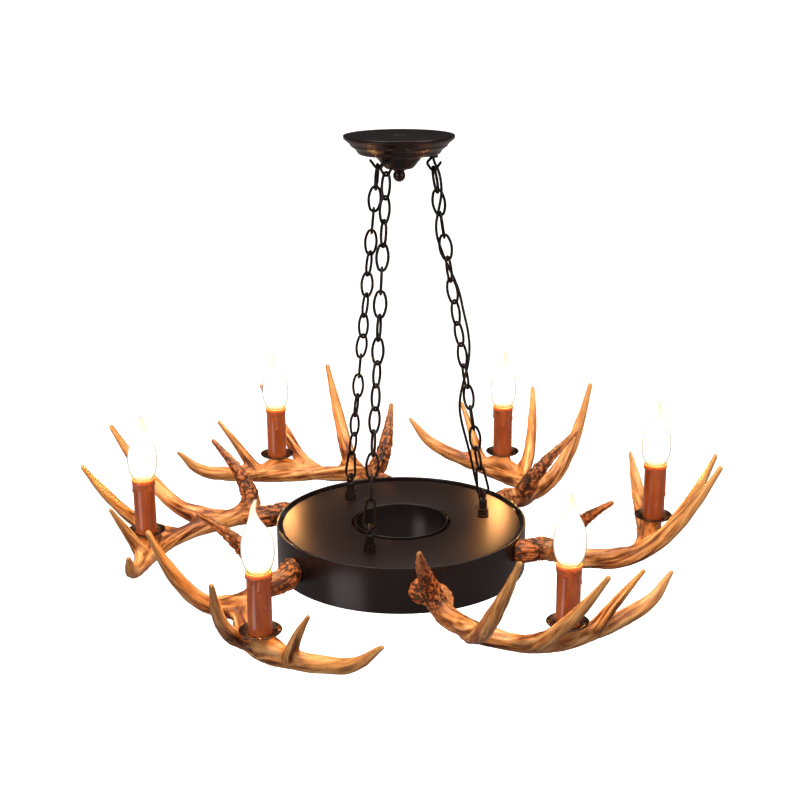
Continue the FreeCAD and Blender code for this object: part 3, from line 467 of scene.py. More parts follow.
M = {
    "antler": antler_material(),
    "sleeve": sleeve_material(),
    "ring": satin("ring_bronze", (0.0048, 0.0030, 0.0030), (0.0072, 0.0046, 0.0046), 0.27, 0.34),
    "plate": satin("ring_plate_bronze", (0.0048, 0.0014, 0.0008), (0.0068, 0.0024, 0.0015), 0.31, 0.48),
    "canopy": satin("canopy_bronze", (0.0050, 0.0022, 0.0016), (0.0095, 0.0040, 0.0026), 0.22, 0.40, 0.08),
    "nipple": satin("nipple_black", (0.0080, 0.0065, 0.0060), (0.0120, 0.0095, 0.0090), 0.34, 0.35),
    "backplate": satin("backplate_black", (0.0030, 0.0022, 0.0022), (0.0050, 0.0036, 0.0036), 0.42, 0.08),
    "chain": painted("chain_black", (0.0034, 0.0022, 0.0020), (0.0110, 0.0068, 0.0054), 0.32, 420.0, 0.08, 0.0, 0.14, 0.12),
    "tray": cast("tray_bronze", (0.060, 0.030, 0.018), (0.150, 0.080, 0.043), 0.27),
    "steel": cast("plated_steel", (0.44, 0.43, 0.41), (0.60, 0.58, 0.55), 0.30),
    "cap": cast("cap_metal", (0.60, 0.59, 0.58), (0.74, 0.73, 0.72), 0.28),
    "holder": painted("holder_body", (0.66, 0.63, 0.55), (0.76, 0.73, 0.66), 0.46, 180.0, 0.05, 0.0, 0.5, 0.05),
    "block": painted("block_plastic", (0.70, 0.69, 0.65), (0.80, 0.79, 0.75), 0.46, 180.0, 0.05, 0.0, 0.5, 0.05),
    "rubber": painted("bush_rubber", (0.012, 0.012, 0.012), (0.024, 0.023, 0.022), 0.58, 500.0, 0.12, 0.0, 0.4, 0.2),
    "cable": painted("cable_sheath", (0.0050, 0.0045, 0.0045), (0.0120, 0.0105, 0.0100), 0.36, 600.0, 0.10, 0.0, 0.16, 0.12),
}
cord.data.materials.append(M["cable"])


def dress(node, mat, smooth=30.0):
    ob = NODES[node]
    ob.data.materials.clear()
    ob.data.materials.append(M[mat] if isinstance(mat, str) else mat)
    return ob


def finish_piece(ob, mat, body, slot, *nodes):
    ob.data.materials.append(M[mat])
    if nodes:
        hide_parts(*nodes)
    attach(ob, body)
    return ob


# ------------------------------------------------------------------ ceiling canopy
W = 1.2
CAN = [(62.7, -0.05), (62.7, -3.0), (61.4, -4.4), (55.6, -9.4), (54.8, -11.4), (49.2, -15.4), (46.6, -19.6), (45.2, -20.8), (30.4, -20.8), (26.0, -24.6), (21.4, -30.2), (17.2, -35.4), (14.6, -37.4),
       (4.3, -37.4), (4.3, -36.2), (14.0, -36.2), (16.4, -34.6), (20.4, -29.5), (25.2, -23.7), (29.8, -19.6), (44.2, -19.6), (45.4, -18.8), (48.0, -14.8), (53.6, -10.8), (54.4, -8.8), (60.2, -3.7), (61.5, -2.4), (61.5, -0.05)]
R = [0.5, 1.6, 0.9, 2.2, 0.9, 2.0, 0.9, 0.9, 1.6, 1.6, 1.2, 1.0, 0.8] + [0.2] * 15
finish_piece(lathe("canopy_shell", rounded(CAN, R), 160), "canopy", "canopy", "canopy_bronze", "canopy_dish")
FIN = [(4.1, -37.6), (9.0, -37.62), (9.0, -38.3), (6.4, -39.8), (5.8, -40.4), (5.8, -41.6), (5.1, -42.6)]
ball = [(7.0 * math.sin(t), -45.4 + 7.0 * math.cos(t)) for t in np.linspace(math.radians(66 - 20), math.radians(176), 16)]
FIN = rounded([(4.1, -37.65), (8.8, -37.65), (9.0, -38.3), (6.3, -39.7), (5.8, -40.4), (5.8, -41.2)], 0.3) + ball + [(0.02, -52.4), (0.02, -47.2), (4.1, -47.2)]
finish_piece(lathe("finial_knob", FIN, 96), "canopy", "finial", "canopy_bronze", "finial_ball")
dress("canopy_backplate", "backplate")
dress("canopy_nipple", "nipple")
dress("canopy_nuts", "steel")
dress("chain_hooks", "chain")
dress("canopy_bush", "rubber")
dress("ring_bush", "rubber")
for key in ("front", "back", "right"):
    dress("top_link_" + key, "chain")
    dress("chain_" + key, "chain")
    dress("drop_link_" + key, "chain")
dress("ring_eyes", "chain")
dress("eye_nuts", "steel")

# ------------------------------------------------------------------ ring drum
T = -459.5
finish_piece(lathe("drum_band", rounded([(150.0, T), (150.0, T - 55.3), (148.0, T - 55.3), (148.0, T)], 0.55), 256), "ring", "ring", "ring_bronze", "outer_band")
finish_piece(lathe("drum_cover", rounded([(143.0, T - 3.0), (143.0, T - 5.0), (59.8, T - 5.0), (59.8, T - 3.0)], 0.6), 256), "plate", "ring", "ring_bronze", "top_plate")
finish_piece(lathe("drum_base", rounded([(142.0, T - 51.3), (142.0, T - 53.3), (59.8, T - 53.3), (59.8, T - 51.3)], 0.6), 256), "plate", "ring", "ring_bronze", "bottom_plate")
finish_piece(lathe("drum_throat", rounded([(56.0, T - 1.3), (56.0, T - 55.0), (54.5, T - 55.0), (54.5, T - 1.3)], 0.5), 192), "ring", "ring", "ring_bronze", "inner_sleeve")
dress("ring_spokes", "ring")
dress("cover_screws", "steel")
dress("terminal_block", "block")
dress("antler_bolts", "steel")
dress("lampholders", "holder")
dress("lamp_nipples", "steel")

# ------------------------------------------------------------------ lamps
LAMP_R = 306.0
LAMPS = [(183.0, -8.4, 2.0), (123.8, -5.0, 0.7), (-118.5, -18.5, 0.0), (62.5, -9.0, -1.5), (1.5, -2.0, -3.0), (-55.5, -18.8, 4.0)]


def tray(i, p):
    prof = [(5.1, -1.6), (9.0, -1.6), (12.2, -1.55), (16.2, -1.0), (19.2, -0.1), (21.2, 1.0), (22.5, 2.3), (22.8, 2.95), (22.6, 3.3), (22.1, 3.35), (21.5, 2.95),
            (20.2, 1.8), (18.4, 0.75), (15.8, -0.05), (12.0, -0.5), (5.1, -0.6)]
    rng = np.random.RandomState(40 + i)
    ph = rng.uniform(0, 6.28, 3)

    def wave(r, z, th):
        k = np.clip((r - 15) / 8, 0, 1)
        return r + 0.0 * th, z + k * (0.12 * np.sin(2 * th + ph[0]) + 0.08 * np.sin(5 * th + ph[1]))
    return lathe("tray_%d" % i, rounded(prof, 0.25), 96, (p.x, p.y, p.z), wave)


def sleeve(i, p):
    rng = np.random.RandomState(90 + i)
    hs = np.concatenate([np.linspace(0.25, 30, 34), np.linspace(30.6, 66.0, 72)[0:], np.linspace(66.4, 68.2, 6)])
    th = np.linspace(0, 2 * math.pi, 144, endpoint=False)
    H, TH = np.meshgrid(hs, th, indexing="ij")
    drops = []
    a = rng.uniform(0, 0.5)
    while a < 2 * math.pi - 0.25:
        drops.append((a, rng.uniform(0.085, 0.15), rng.choice([7.0, 11.0, 16.0, 22.0, 30.0, 38.0], p=[0.22, 0.24, 0.2, 0.16, 0.11, 0.07]) * rng.uniform(0.85, 1.15), rng.uniform(0.9, 1.3)))
        a += rng.uniform(0.34, 0.72)
    skirt = 5.0 + 1.1 * np.sin(3 * TH + rng.uniform(0, 6)) + 0.8 * np.sin(7 * TH + rng.uniform(0, 6))
    top = 68.5
    d = np.zeros_like(H)
    s = top - H
    d = np.maximum(d, 0.85 * np.clip((skirt - s) / 1.2 + 0.5, 0, 1))
    for a, w, ln, th_ in drops:
        da = (TH - a + math.pi) % (2 * math.pi) - math.pi
        bead = 1.0 + 0.35 * np.exp(-((s - ln + 1.6) / 2.6) ** 2)
        prof = np.exp(-(da / (w * bead)) ** 2 * 1.6)
        tail = np.clip((ln - s) / 1.3, 0, 1) ** 0.5
        d = np.maximum(d, th_ * (0.62 + 0.38 * np.exp(-((s - ln + 2.0) / 3.0) ** 2)) * prof * tail)
    body = 12.7 + 0.06 * np.sin(2 * TH + 1.0)
    Rr = np.minimum(body + d * 1.22, 14.25)
    edge = np.clip((H - 66.6) / 1.9, 0, 1)
    Rr = Rr - 0.45 * edge ** 2
    rows = [(Rr[j], hs[j]) for j in range(len(hs))]
    rim = top - 0.02
    rows.append((np.full(144, 12.75), rim))
    rows.append((np.full(144, 12.25), rim))
    rows.append((np.full(144, 11.95), 68.0))
    for z in (60.0, 45.0, 30.0, 15.0, 0.25):
        rows.append((np.full(144, 11.9), z))
    n, m = 144, len(rows)
    v = np.concatenate([np.stack([r * np.cos(th), r * np.sin(th), np.full(n, z)], 1) for r, z in rows]) + np.array([p.x, p.y, p.z])
    faces = [(a_ * n + k, a_ * n + (k + 1) % n, ((a_ + 1) % m) * n + (k + 1) % n, ((a_ + 1) % m) * n + k) for a_ in range(m) for k in range(n)]
    ob = mesh_object("candle_%d" % i, v * MM, faces)
    drip = np.concatenate([d.ravel(), np.zeros(n * (m - len(hs)))])
    zz = v[:, 2] - p.z
    # painted light: the bulb's glow, strongest at the top rim, and rising up the inner wall
    glow = np.clip((zz - 61.5) / 7.0, 0, 1) ** 2.2
    inner = np.zeros(len(v))
    inner[len(hs) * n:] = 1.0
    glow = np.where(inner > 0, np.clip((zz - 55.0) / 13.0, 0, 1), glow)
    attribute(ob, "drip", np.clip(drip, 0, 1.2) / 1.2)
    attribute(ob, "glow", glow)
    mend(ob)
    return ob


for i, (az, lvl, lift) in enumerate(LAMPS, start=1):
    p = polar(LAMP_R, az, T + lvl)
    finish_piece(tray(i, p), "tray", "ring", "tray_bronze", "drip_tray_%d" % i)
    finish_piece(sleeve(i, p), "sleeve", "ring", "candle_wax_tube", "candle_sleeve_%d" % i)
    dress("bulb_glass_%d" % i, glow_material("bulb_glass_lit_%d" % i, p.z * MM))
    dress("bulb_cap_%d" % i, "cap")

# ------------------------------------------------------------------ antlers
BEAM = [(134.5, -66.4, -9.9), (170.0, -64.0, -10.5), (199.0, -78.0, -15.0), (261.0, -55.0, -25.0), (297.5, 0.0, -26.8), (309.0, 104.5, -7.8), (307.5, 148.0, 26.0)]
TINES = [
    ("brow", 1.9, (161.0, -82.0, 6.0), (227.8, -134.0, 70.5), (11.0, 12.6, 10.0, 7.2, 3.0)),
    ("second", 2.43, (287.7, -102.5, -26.0), (351.5, -107.0, 100.0), (11.4, 9.8, 9.4, 7.6, 3.0)),
    ("third", 3.45, (330.5, -38.0, -9.0), (377.5, -12.5, 77.0), (8.6, 8.8, 7.6, 6.4, 2.8)),
    ("fourth", 4.36, (312.7, 34.0, -12.0), (337.0, 75.0, 50.0), (8.6, 8.8, 6.8, 5.1, 2.5)),
]
# each antler's own offsets of its four tine tips and of the beam's end
SHIFT = [
    {"brow": (4.6, 0.9, -3.7), "second": (4.5, 0.7, -3.0), "third": (1.1, -0.3, 0.7), "fourth": (-1.8, -1.5, 5.2), "end": (0.0, 0.0, 0.0)},
    {"brow": (-2.1, -1.7, -2.5), "second": (-1.8, -2.4, -0.5), "third": (-1.7, -3.8, 2.2), "fourth": (-1.1, -3.1, 2.5), "end": (0.7, -1.3, 4.5)},
    {"brow": (-3.0, 0.6, 8.0), "second": (-3.2, 2.4, 5.7), "third": (-2.4, 4.1, 0.6), "fourth": (-0.6, 3.0, -2.9), "end": (3.3, -1.4, -7.2)},
    {"brow": (1.5, -0.8, 3.1), "second": (1.1, -1.2, 1.2), "third": (0.9, -1.1, 0.9), "fourth": (0.1, 2.7, 4.6), "end": (2.0, -2.0, 2.9)},
    {"brow": (2.5, 0.6, 2.3), "second": (5.3, 0.6, 2.5), "third": (-2.4, 2.0, 6.4), "fourth": (-2.0, 2.0, 5.0), "end": (-3.0, 2.3, 7.2)},
    {"brow": (-2.2, 1.4, 8.7), "second": (0.0, 2.8, 5.3), "third": (0.3, 0.3, -0.2), "fourth": (0.7, -0.1, -2.0), "end": (1.4, -1.9, -7.4)},
]
FOOT, BURR_R, BEAM_R = -26.3, 15.0, 11.6


def cr(pts, u):
    n = len(pts)
    i = min(int(u), n - 2)
    f = u - i
    p1, p2 = pts[i], pts[i + 1]
    p0 = pts[i - 1] if i > 0 else p1 * 2 - p2
    p3 = pts[i + 2] if i + 2 < n else p2 * 2 - p1
    return (p1 * 2 + (p2 - p0) * f + (p0 * 2 - p1 * 5 + p2 * 4 - p3) * f * f + (p1 * 3 - p0 - p2 * 3 + p3) * f ** 3) * 0.5


def frames(P, first=None):
    t = np.gradient(P, axis=0)
    t /= np.linalg.norm(t, axis=1)[:, None]
    if first is not None:
        for k, d in enumerate(first):
            t[k] = d / np.linalg.norm(d)
    u = np.cross(t[0], [0, 0, 1.0])
    u /= np.linalg.norm(u)
    U, Vv = [], []
    for k in range(len(P)):
        u = u - t[k] * u.dot(t[k])
        u = u / np.linalg.norm(u)
        U.append(u)
        Vv.append(np.cross(t[k], u))
    return t, np.array(U), np.array(Vv)


def limbs(lift, seed, own):
    """Centre lines, radii and frames of the antler's limbs in the lamp's own frame, in mm."""
    up = np.array([0, 0, lift])
    own = {k: np.array(v) for k, v in own.items()}
    P = [np.array(b) + up + own["end"] * f for b, f in zip(BEAM, (0, 0, 0, 0, 0.1, 0.5, 1.0))]
    d = lambda r, a, z=0.0: np.array([r * math.cos(math.radians(a)), r * math.sin(math.radians(a)), z])
    start = d(150.15, FOOT, lift - 9.9)
    rows = [(start, d(1, FOOT), BURR_R - 1.4), (start + d(4.5, FOOT + 8), d(1, FOOT + 9), BURR_R + 0.2), (start + d(11, FOOT + 16), d(1, FOOT + 19), BURR_R - 0.8)]
    us = [0.62, 0.95, 1.4, 1.9, 2.35, 2.8, 3.2, 3.6, 4.0, 4.3, 4.65, 5.0, 5.35, 5.65, 5.85, 6.0]
    rs = [2.0, 1.8, 1.2, 0.2, 0.0, -1.0, -2.0, -1.6, -1.2, -1.3, -2.0, -3.3, -5.1, -6.8, -8.0, -9.0]
    for u, r in zip(us, rs):
        rows.append((cr(P, u), cr(P, min(u + 0.04, 6.0)) - cr(P, max(u - 0.04, 0.0)), BEAM_R + r))
    C = [r[0] for r in rows]
    k = np.linspace(0, len(rows) - 1, 10 * (len(rows) - 1) + 1)
    pts = np.array([cr(C, x) for x in k])
    rad = np.interp(k, range(len(rows)), [r[2] for r in rows])
    rad = np.convolve(np.pad(rad, 4, mode="edge"), np.ones(9) / 9, mode="valid")
    pts[0] = start
    tang = [rows[0][1] * (1 - x) + rows[1][1] * x for x in k[:10]]
    out = [("beam", pts, rad, frames(pts, tang))]
    for name, u, mid, tip, rr in TINES:
        a, m, b = cr(P, u), np.array(mid) + up + own[name] * 0.5, np.array(tip) + up + own[name]
        f = np.linspace(0, 1, 70)[:, None]
        pts = a * (1 - f) ** 2 + m * 2 * f * (1 - f) + b * f * f
        rad = np.interp(f[:, 0], np.linspace(0, 1, len(rr)), rr)
        rad = np.convolve(np.pad(rad, 6, mode="edge"), np.ones(13) / 13, mode="valid")
        tail = np.clip((f[:, 0] - 0.86) / 0.14, 0, 1)
        rad = rad * (1 - 0.04 * tail)
        w = 1.1 * np.sin(math.pi * f[:, 0])[:, None]
        rng = np.random.RandomState(seed * 7 + len(name))
        bend = rng.uniform(-1, 1, 3)
        pts = pts + w * bend * np.sin(2 * math.pi * f) * 0.6
        out.append((name, pts, rad, frames(pts)))
    webs = []
    beam = out[0][1]
    for (name, u, mid, tip, rr), (n2, pts, rad, fr) in zip(TINES, out[1:]):
        for du, f, q in ((-0.32, 0.32, 0.72), (0.28, 0.32, 0.72), (-0.17, 0.40, 0.78), (0.15, 0.40, 0.78)):
            if name == "brow" and du < 0:
                du *= 1.5
            a, b = cr(P, max(0.7, u + du)), pts[int(f * 69)]
            rb = rad[int(f * 69)]
            g = np.linspace(0, 1, 14)[:, None]
            webs.append((a * (1 - g) + b * g, (rr[0] * 0.74) * (1 - g[:, 0]) + rb * q * g[:, 0]))
    xl = LAMP_R
    seat = [(np.array([xl - 7.5, 0, -28.5 + lift]), 9.5), (np.array([xl - 5.5, 0, -24.5 + lift * 0.85]), 11.0), (np.array([xl - 3.5, 0, -20.5 + lift * 0.7]), 12.0),
            (np.array([xl - 1.2, 0, -15.0 + lift * 0.4]), 12.1), (np.array([xl - 0.2, 0, -9.5 + lift * 0.2]), 11.8), (np.array([xl, 0, -5.0]), 11.4), (np.array([xl, 0, -1.9]), 10.9)]
    webs_seat = (np.array([s[0] for s in seat]), np.array([s[1] for s in seat]))
    g = np.linspace(0, 1, 17)[:, None]
    sad = [np.array([xl - 10.0, -30.0, -24.0 + lift]), np.array([xl - 3.0, 0, -4.0 + lift * 0.5]), np.array([xl - 1.0, 32.0, -22.0 + lift])]
    webs.append((sad[0] * (1 - g) ** 2 + sad[1] * 2 * g * (1 - g) + sad[2] * g * g, 7.5 + 2.6 * np.sin(math.pi * g[:, 0])))
    return out, webs, webs_seat


def tube(pts, rad, fr, n=24, round_start=True, round_end=True):
    t, U, Vv = fr
    th = np.linspace(0, 2 * math.pi, n, endpoint=False)
    rings, faces = [], []
    pre, post = [], []
    if round_start:
        for g in (0.97, 0.8, 0.5):
            pre.append((pts[0] - t[0] * rad[0] * g, rad[0] * math.sqrt(max(0.02, 1 - g * g)), 0))
    if round_end:
        for g in (0.5, 0.8, 0.97):
            post.append((pts[-1] + t[-1] * rad[-1] * g, rad[-1] * math.sqrt(max(0.02, 1 - g * g)), len(pts) - 1))
    rows = pre + [(pts[k], rad[k], k) for k in range(len(pts))] + post
    v = []
    for c, r, k in rows:
        v.append(c + r * (np.cos(th)[:, None] * U[k] + np.sin(th)[:, None] * Vv[k]))
    v = np.concatenate(v)
    m = len(rows)
    for a in range(m - 1):
        for k in range(n):
            q = (k + 1) % n
            faces.append((a * n + k, a * n + q, (a + 1) * n + q, (a + 1) * n + k))
    faces.append(tuple(range(n))[::-1])
    faces.append(tuple((m - 1) * n + k for k in range(n)))
    return v, faces


def smooth_mesh(co, e, steps, lam, weight=None):
    n = len(co)
    deg = np.bincount(e.ravel(), minlength=n).astype(float)[:, None]
    for _ in range(steps):
        for l in lam:
            s = np.stack([np.bincount(e[:, 0], co[e[:, 1], c], n) + np.bincount(e[:, 1], co[e[:, 0], c], n) for c in range(3)], 1)
            step = (s / np.maximum(deg, 1) - co) * l
            co = co + (step if weight is None else step * weight[:, None])
    return co


def nearest(co, pts, rad, fr):
    """For each vertex: offset in the limb's frame, arc length, share of the limb, and distance beyond its surface."""
    t, U, Vv = fr
    arc = np.concatenate([[0], np.cumsum(np.linalg.norm(np.diff(pts, axis=0), axis=1))])
    best = np.empty(len(co), int)
    for a in range(0, len(co), 6000):
        c = co[a:a + 6000]
        dist = ((c[:, None, :] - pts[None]) ** 2).sum(2)
        dist = np.sqrt(dist) - rad[None] * 0.6
        best[a:a + 6000] = dist.argmin(1)
    dlt = co - pts[best]
    x, y, z = (dlt * U[best]).sum(1), (dlt * Vv[best]).sum(1), (dlt * t[best]).sum(1)
    return x, y, arc[best] + z, arc[best] / arc[-1], np.sqrt(x * x + y * y + np.clip(np.abs(z) - 1.0, 0, None) ** 2) - rad[best], rad[best], arc[-1]


def antler(i, az, lvl, lift):
    seed = 300 + 17 * i
    lim, webs, seat = limbs(lift, seed, SHIFT[i - 1])
    bits = []
    for k, (name, pts, rad, fr) in enumerate(lim):
        bits.append(tube(pts, rad, fr, 28, round_start=(k > 0)))
    for pts, rad in webs:
        bits.append(tube(pts, rad, frames(pts), 16))
    bits.append(tube(seat[0], seat[1], frames(seat[0]), 28, round_start=True, round_end=False))
    v, f, base = [], [], 0
    for a, b in bits:
        v.append(a)
        f += [tuple(q + base for q in face) for face in b]
        base += len(a)
    v = np.concatenate(v)
    raw = mesh_object("raw", v * MM, f)
    bm = bmesh.new()
    bm.from_mesh(raw.data)
    bmesh.ops.recalc_face_normals(bm, faces=bm.faces)
    bm.to_mesh(raw.data)
    bm.free()
    mod = raw.modifiers.new("union", "REMESH")
    mod.mode = "VOXEL"
    mod.voxel_size = 0.00115
    mod.adaptivity = 0.0
    dg = bpy.context.evaluated_depsgraph_get()
    me = bpy.data.meshes.new_from_object(raw.evaluated_get(dg))
    bpy.data.objects.remove(raw, do_unlink=True)
    n = len(me.vertices)
    co = np.empty(n * 3)
    me.vertices.foreach_get("co", co)
    co = co.reshape(-1, 3) / MM
    e = np.empty(len(me.edges) * 2, int)
    me.edges.foreach_get("vertices", e)
    e = e.reshape(-1, 2)
    co = smooth_mesh(co, e, 4, (0.55, -0.52))
    co = smooth_mesh(co, e, 2, (0.5,))
    info = [nearest(co, pts, rad, fr) for name, pts, rad, fr in lim]
    D = np.stack([q[4] for q in info])
    order = np.sort(D, axis=0)
    join = np.exp(-np.clip(order[1] - order[0], 0, None) / 5.0)
    flat = np.clip((co @ np.array([math.cos(math.radians(FOOT)), math.sin(math.radians(FOOT)), 0]) - 152.0) / 2.0, 0, 1)
    co = smooth_mesh(co, e, 26, (0.5,), np.clip(join * 1.15 - 0.10, 0, 1) * flat)
    co = smooth_mesh(co, e, 2, (0.4,), flat)
    me.vertices.foreach_set("co", (co * MM).ravel())
    me.update()
    nr = np.empty(n * 3)
    me.vertices.foreach_get("normal", nr)
    nr = nr.reshape(-1, 3)
    info = [nearest(co, pts, rad, fr) for name, pts, rad, fr in lim]
    D = np.stack([q[4] for q in info])
    Wt = np.exp(-(D - D.min(0)) / 1.6)
    Wt /= Wt.sum(0)
    mixd = {k: np.zeros(n) for k in ("groove", "line", "tone", "lump", "pearl", "burr", "tip", "chalk", "fleck", "pit")}
    for k, (q, (name, pts, rad, fr)) in enumerate(zip(info, lim)):
        x, y, s, share, dist, rr, total = q
        sd = seed + 31 * k
        w = Wt[k]
        far = w > 0.004
        x, y, s, share, rr, w = x[far], y[far], s[far], share[far], rr[far], w[far]
        twist = 0.010 * s
        xr, yr = x * np.cos(twist) - y * np.sin(twist), x * np.sin(twist) + y * np.cos(twist)
        ang = np.arctan2(yr, xr)
        cx, cy = np.cos(ang), np.sin(ang)
        groove = fbm(cx * 3.1, cy * 3.1, s / 34.0, sd, 3)
        fine = noise(cx * 8.5, cy * 8.5, s / 17.0, sd + 5)
        mask = np.clip(fbm(cx * 1.1, cy * 1.1, s / 38.0, sd + 9, 2) * 2.6 - 0.72, 0, 1)
        line = np.clip((ridged(cx * 3.3, cy * 3.3, s / 30.0, sd + 2) - 0.955) / 0.045, 0, 1) * mask
        line = np.maximum(line, 0.8 * np.clip((ridged(cx * 6.2, cy * 6.2, s / 19.0, sd + 3) - 0.965) / 0.035, 0, 1) * np.clip(fbm(cx * 1.5, cy * 1.5, s / 30.0, sd + 11, 2) * 2.8 - 1.15, 0, 1))
        tone = 0.60 * fbm(cx * 2.0, cy * 2.0, s / 46.0, sd + 21, 3) + 0.40 * fbm(cx * 6.5, cy * 6.5, s / 20.0, sd + 25, 2)
        lump = fbm(cx * 1.0, cy * 1.0, s / 17.0, sd + 41, 2)
        wx, wy = noise(x / 5.0, y / 5.0, s / 6.0, sd + 53), noise(x / 5.0, y / 5.0, s / 6.0, sd + 57)
        pearl = cells(x / 4.3 + 1.5 * wx, y / 4.3 + 1.5 * wy, s / 6.4 + 0.8 * wx, sd + 51)
        pearl = pearl + 0.55 * (fbm(x / 2.6, y / 2.6, s / 4.2, sd + 59, 2) - 0.5)
        fleck = noise(x / 1.3, y / 1.3, s / 3.0, sd + 61)
        if name == "beam":
            burr = np.clip((60.0 - s) / 34.0, 0, 1) ** 0.8
            tip = np.clip((share - 0.62) / 0.38, 0, 1)
            chalk = 0 * s
        elif name == "brow":
            burr = np.clip(0.78 + 0.25 * np.sin(share * 5.0), 0, 1) * np.clip((1.02 - share) / 0.14, 0.45, 1)
            tip = 0 * s
            chalk = np.clip((share - 0.45) / 0.35, 0, 1)
        else:
            burr = 0.16 * np.clip((0.24 - share) / 0.24, 0, 1)
            tip = np.clip((share - 0.30) / 0.55, 0, 1)
            chalk = 0 * s
        for key, val in (("groove", groove * 0.8 + fine * 0.2), ("line", line * (1 - 0.55 * tip)), ("tone", tone), ("lump", lump), ("pearl", pearl), ("burr", burr), ("tip", tip), ("chalk", chalk), ("fleck", fleck), ("pit", np.clip((pearl - 0.34) / 0.34, 0, 1))):
            mixd[key][far] += w * val
    g = mixd
    thin = np.clip(np.array([q[5] for q in info])[D.argmin(0), np.arange(n)] / 8.0, 0.25, 1.0)
    smooth_part = 1 - 0.75 * g["tip"]
    disp = (g["groove"] - 0.5) * 2.5 * smooth_part * thin + (g["lump"] - 0.5) * 1.5 * thin - g["line"] * 0.62 * thin
    disp += g["burr"] * ((0.55 - g["pearl"]) * 2.9 + (g["fleck"] - 0.5) * 0.8) * thin
    disp -= 0.25 * g["burr"]
    disp *= flat * 0.85 + 0.15
    near_seat = np.clip((np.hypot(co[:, 0] - LAMP_R, co[:, 1]) - 9.0) / 6.0, 0, 1)
    top = np.clip((-3.0 - co[:, 2]) / 3.0, 0, 1)
    disp *= np.maximum(near_seat, top)
    co = co + nr * disp[:, None]
    limit = (co @ np.array([math.cos(math.radians(FOOT)), math.sin(math.radians(FOOT)), 0]))
    co[:, 2] = np.where((np.hypot(co[:, 0] - LAMP_R, co[:, 1]) < 20.0) & (co[:, 2] > -1.75), -1.75, co[:, 2])
    hyp = np.hypot(co[:, 0], co[:, 1])
    push = np.where(hyp < 150.1, 150.1 / np.maximum(hyp, 1), 1.0)
    co[:, 0] *= push
    co[:, 1] *= push
    a = math.radians(az)
    world = np.stack([co[:, 0] * math.cos(a) - co[:, 1] * math.sin(a), co[:, 0] * math.sin(a) + co[:, 1] * math.cos(a), co[:, 2] + T + lvl], 1)
    lo, hi = np.array(CAD_BOX[0]) / MM + 0.05, np.array(CAD_BOX[1]) / MM - 0.05
    world = np.clip(world, lo, hi)
    me.vertices.foreach_set("co", (world * MM).ravel())
    me.update()
    me.polygons.foreach_set("use_smooth", [True] * len(me.polygons))
    ob = bpy.data.objects.new("antler_piece_%d" % i, me)
    me.name = ob.name
    scene.collection.objects.link(ob)
    # painted shade: the low parts of the groove relief and the crotches where limbs join are marked dark, together with
    # the groove lines
    hollow_shade = np.clip((0.47 - g["groove"]) / 0.14, 0, 1) * (0.62 - 0.2 * g["burr"]) * (1 - 0.6 * g["tip"])
    dark_lines_and_shade = np.clip(g["line"] * 0.95 + hollow_shade * 0.55 + 0.35 * join * np.clip((g["tone"] * -1 + 0.55) * 3, 0, 1), 0, 1)
    tone = np.clip((g["tone"] - 0.5) * 2.7 + 0.50 + 0.12 * g["tip"] - 0.06 * g["burr"], 0, 1)
    attribute(ob, "tone", tone)
    attribute(ob, "dark_lines_and_shade", dark_lines_and_shade)
    attribute(ob, "burr", np.clip(g["burr"], 0, 1))
    attribute(ob, "tip", g["tip"])
    attribute(ob, "chalk", g["chalk"])
    attribute(ob, "pit", g["pit"])
    return ob


for i, (az, lvl, lift) in enumerate(LAMPS, start=1):
    finish_piece(antler(i, az, lvl, lift), "antler", "ring", "antler_resin", "antler_%d" % i)

# ------------------------------------------------------------------ studio
world = bpy.data.worlds.new("Studio")
scene.world = world
world.use_nodes = True
wt = world.node_tree
wt.nodes.clear()
out = wt.nodes.new("ShaderNodeOutputWorld")
bg = wt.nodes.new("ShaderNodeBackground")
tc = wt.nodes.new("ShaderNodeTexCoord")
sep = wt.nodes.new("ShaderNodeSeparateXYZ")
rm = wt.nodes.new("ShaderNodeMapRange")
rp = wt.nodes.new("ShaderNodeValToRGB")
rm.inputs["From Min"].default_value, rm.inputs["From Max"].default_value = -1.0, 1.0
el = rp.color_ramp.elements
el[0].position, el[0].color = 0.0, (0.36, 0.305, 0.300, 1)
el[1].position, el[1].color = 0.42, (0.31, 0.265, 0.262, 1)
for p_, c_ in ((0.50, (0.09, 0.080, 0.080)), (0.56, (0.030, 0.026, 0.025)), (0.74, (0.030, 0.024, 0.023)), (0.86, (0.75, 0.73, 0.71)), (0.92, (2.4, 2.35, 2.28)), (1.0, (3.0, 2.93, 2.84))):
    e_ = el.new(p_)
    e_.color = (*c_, 1)
wt.links.new(tc.outputs["Generated"], sep.inputs[0])
wt.links.new(sep.outputs["Z"], rm.inputs["Value"])
wt.links.new(rm.outputs[0], rp.inputs[0])
wt.links.new(rp.outputs[0], bg.inputs["Color"])
bg.inputs["Strength"].default_value = 1.0
paper = wt.nodes.new("ShaderNodeBackground")
paper.inputs["Color"].default_value = (1.0, 1.0, 1.0, 1)
seen = wt.nodes.new("ShaderNodeLightPath")
pick = wt.nodes.new("ShaderNodeMixShader")
wt.links.new(seen.outputs["Is Camera Ray"], pick.inputs[0])
wt.links.new(bg.outputs[0], pick.inputs[1])
wt.links.new(paper.outputs[0], pick.inputs[2])
wt.links.new(pick.outputs[0], out.inputs[0])

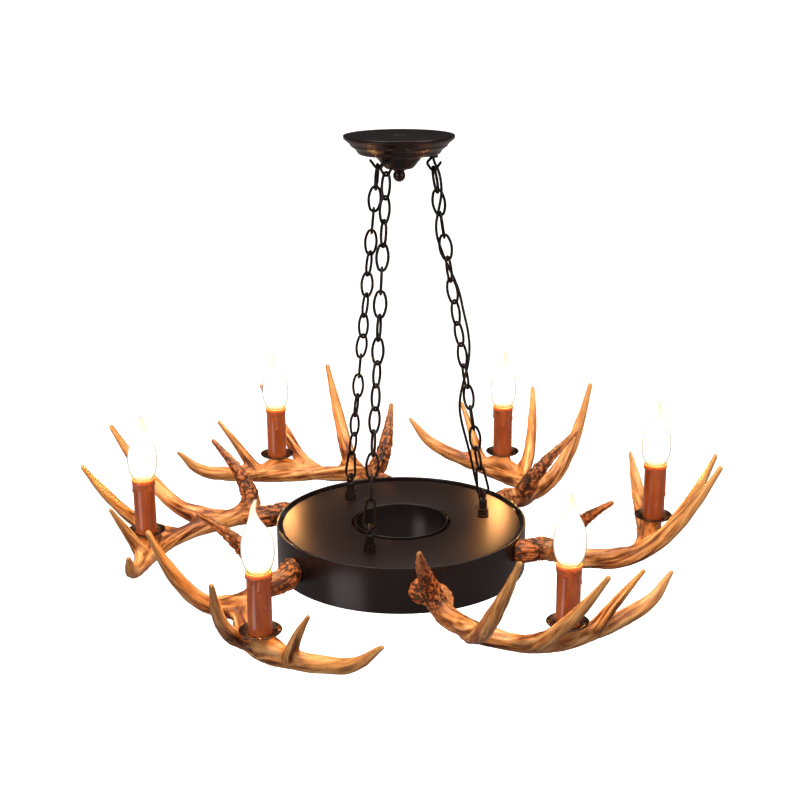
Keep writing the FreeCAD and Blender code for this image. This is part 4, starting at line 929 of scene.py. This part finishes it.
floor = mesh_object("floor", [(-90, -90, -1.15), (90, -90, -1.15), (90, 90, -1.15), (-90, 90, -1.15)], [(0, 1, 2, 3)], smooth=False)
fm = Nodes("floor_paper")
fm.set(Base_Color=fm.mix(fm.span(fm.noise(0.7, 2.0), 0.3, 0.7), (0.93, 0.93, 0.93), (0.95, 0.95, 0.95)), Roughness=0.9, Specular_IOR_Level=0.1, Emission_Color=(1.0, 1.0, 1.0), Emission_Strength=0.25)
floor.data.materials.append(fm.mat)
floor.visible_glossy = False
floor.visible_diffuse = False


def soft_light(name, loc, target, size, power, colour=(1, 1, 1)):
    li = bpy.data.lights.new(name, "AREA")
    li.shape = "RECTANGLE"
    li.size, li.size_y = size
    li.energy = power
    li.color = colour
    ob = bpy.data.objects.new(name, li)
    scene.collection.objects.link(ob)
    ob.location = loc
    ob.rotation_euler = (Vector(target) - Vector(loc)).to_track_quat("-Z", "Y").to_euler()
    return ob


# the lit bulbs: a warm ball of light in each glass belly
for i, (az, lvl, lift) in enumerate(LAMPS, start=1):
    q = polar(LAMP_R, az, T + lvl + 93.0) * MM
    li = bpy.data.lights.new("bulb_glow_%d" % i, "POINT")
    li.energy = 0.60
    li.color = (1.0, 0.42, 0.105)
    li.shadow_soft_size = 0.012
    li.use_shadow = False
    li.cycles.use_multiple_importance_sampling = False
    lo = bpy.data.objects.new("bulb_glow_%d" % i, li)
    scene.collection.objects.link(lo)
    lo.location = q
    lo.visible_camera = False

soft_light("key", (-1.5, -1.7, 0.9), (0, 0, -0.4), (1.2, 1.2), 34.0, (1.0, 0.96, 0.91))
soft_light("fill", (1.8, -1.3, 0.5), (0, 0, -0.4), (1.4, 1.2), 20.0, (1.0, 0.97, 0.94))
soft_light("low", (-1.15, -1.0, -1.1), (0, 0, -0.45), (0.8, 0.6), 3.2, (1.0, 0.86, 0.86))
soft_light("top", (0.0, -0.35, 1.6), (0, 0, -0.4), (2.2, 2.2), 48.0)

scene.view_settings.view_transform = "Standard"
scene.view_settings.look = "None"
scene.view_settings.exposure = 0.0
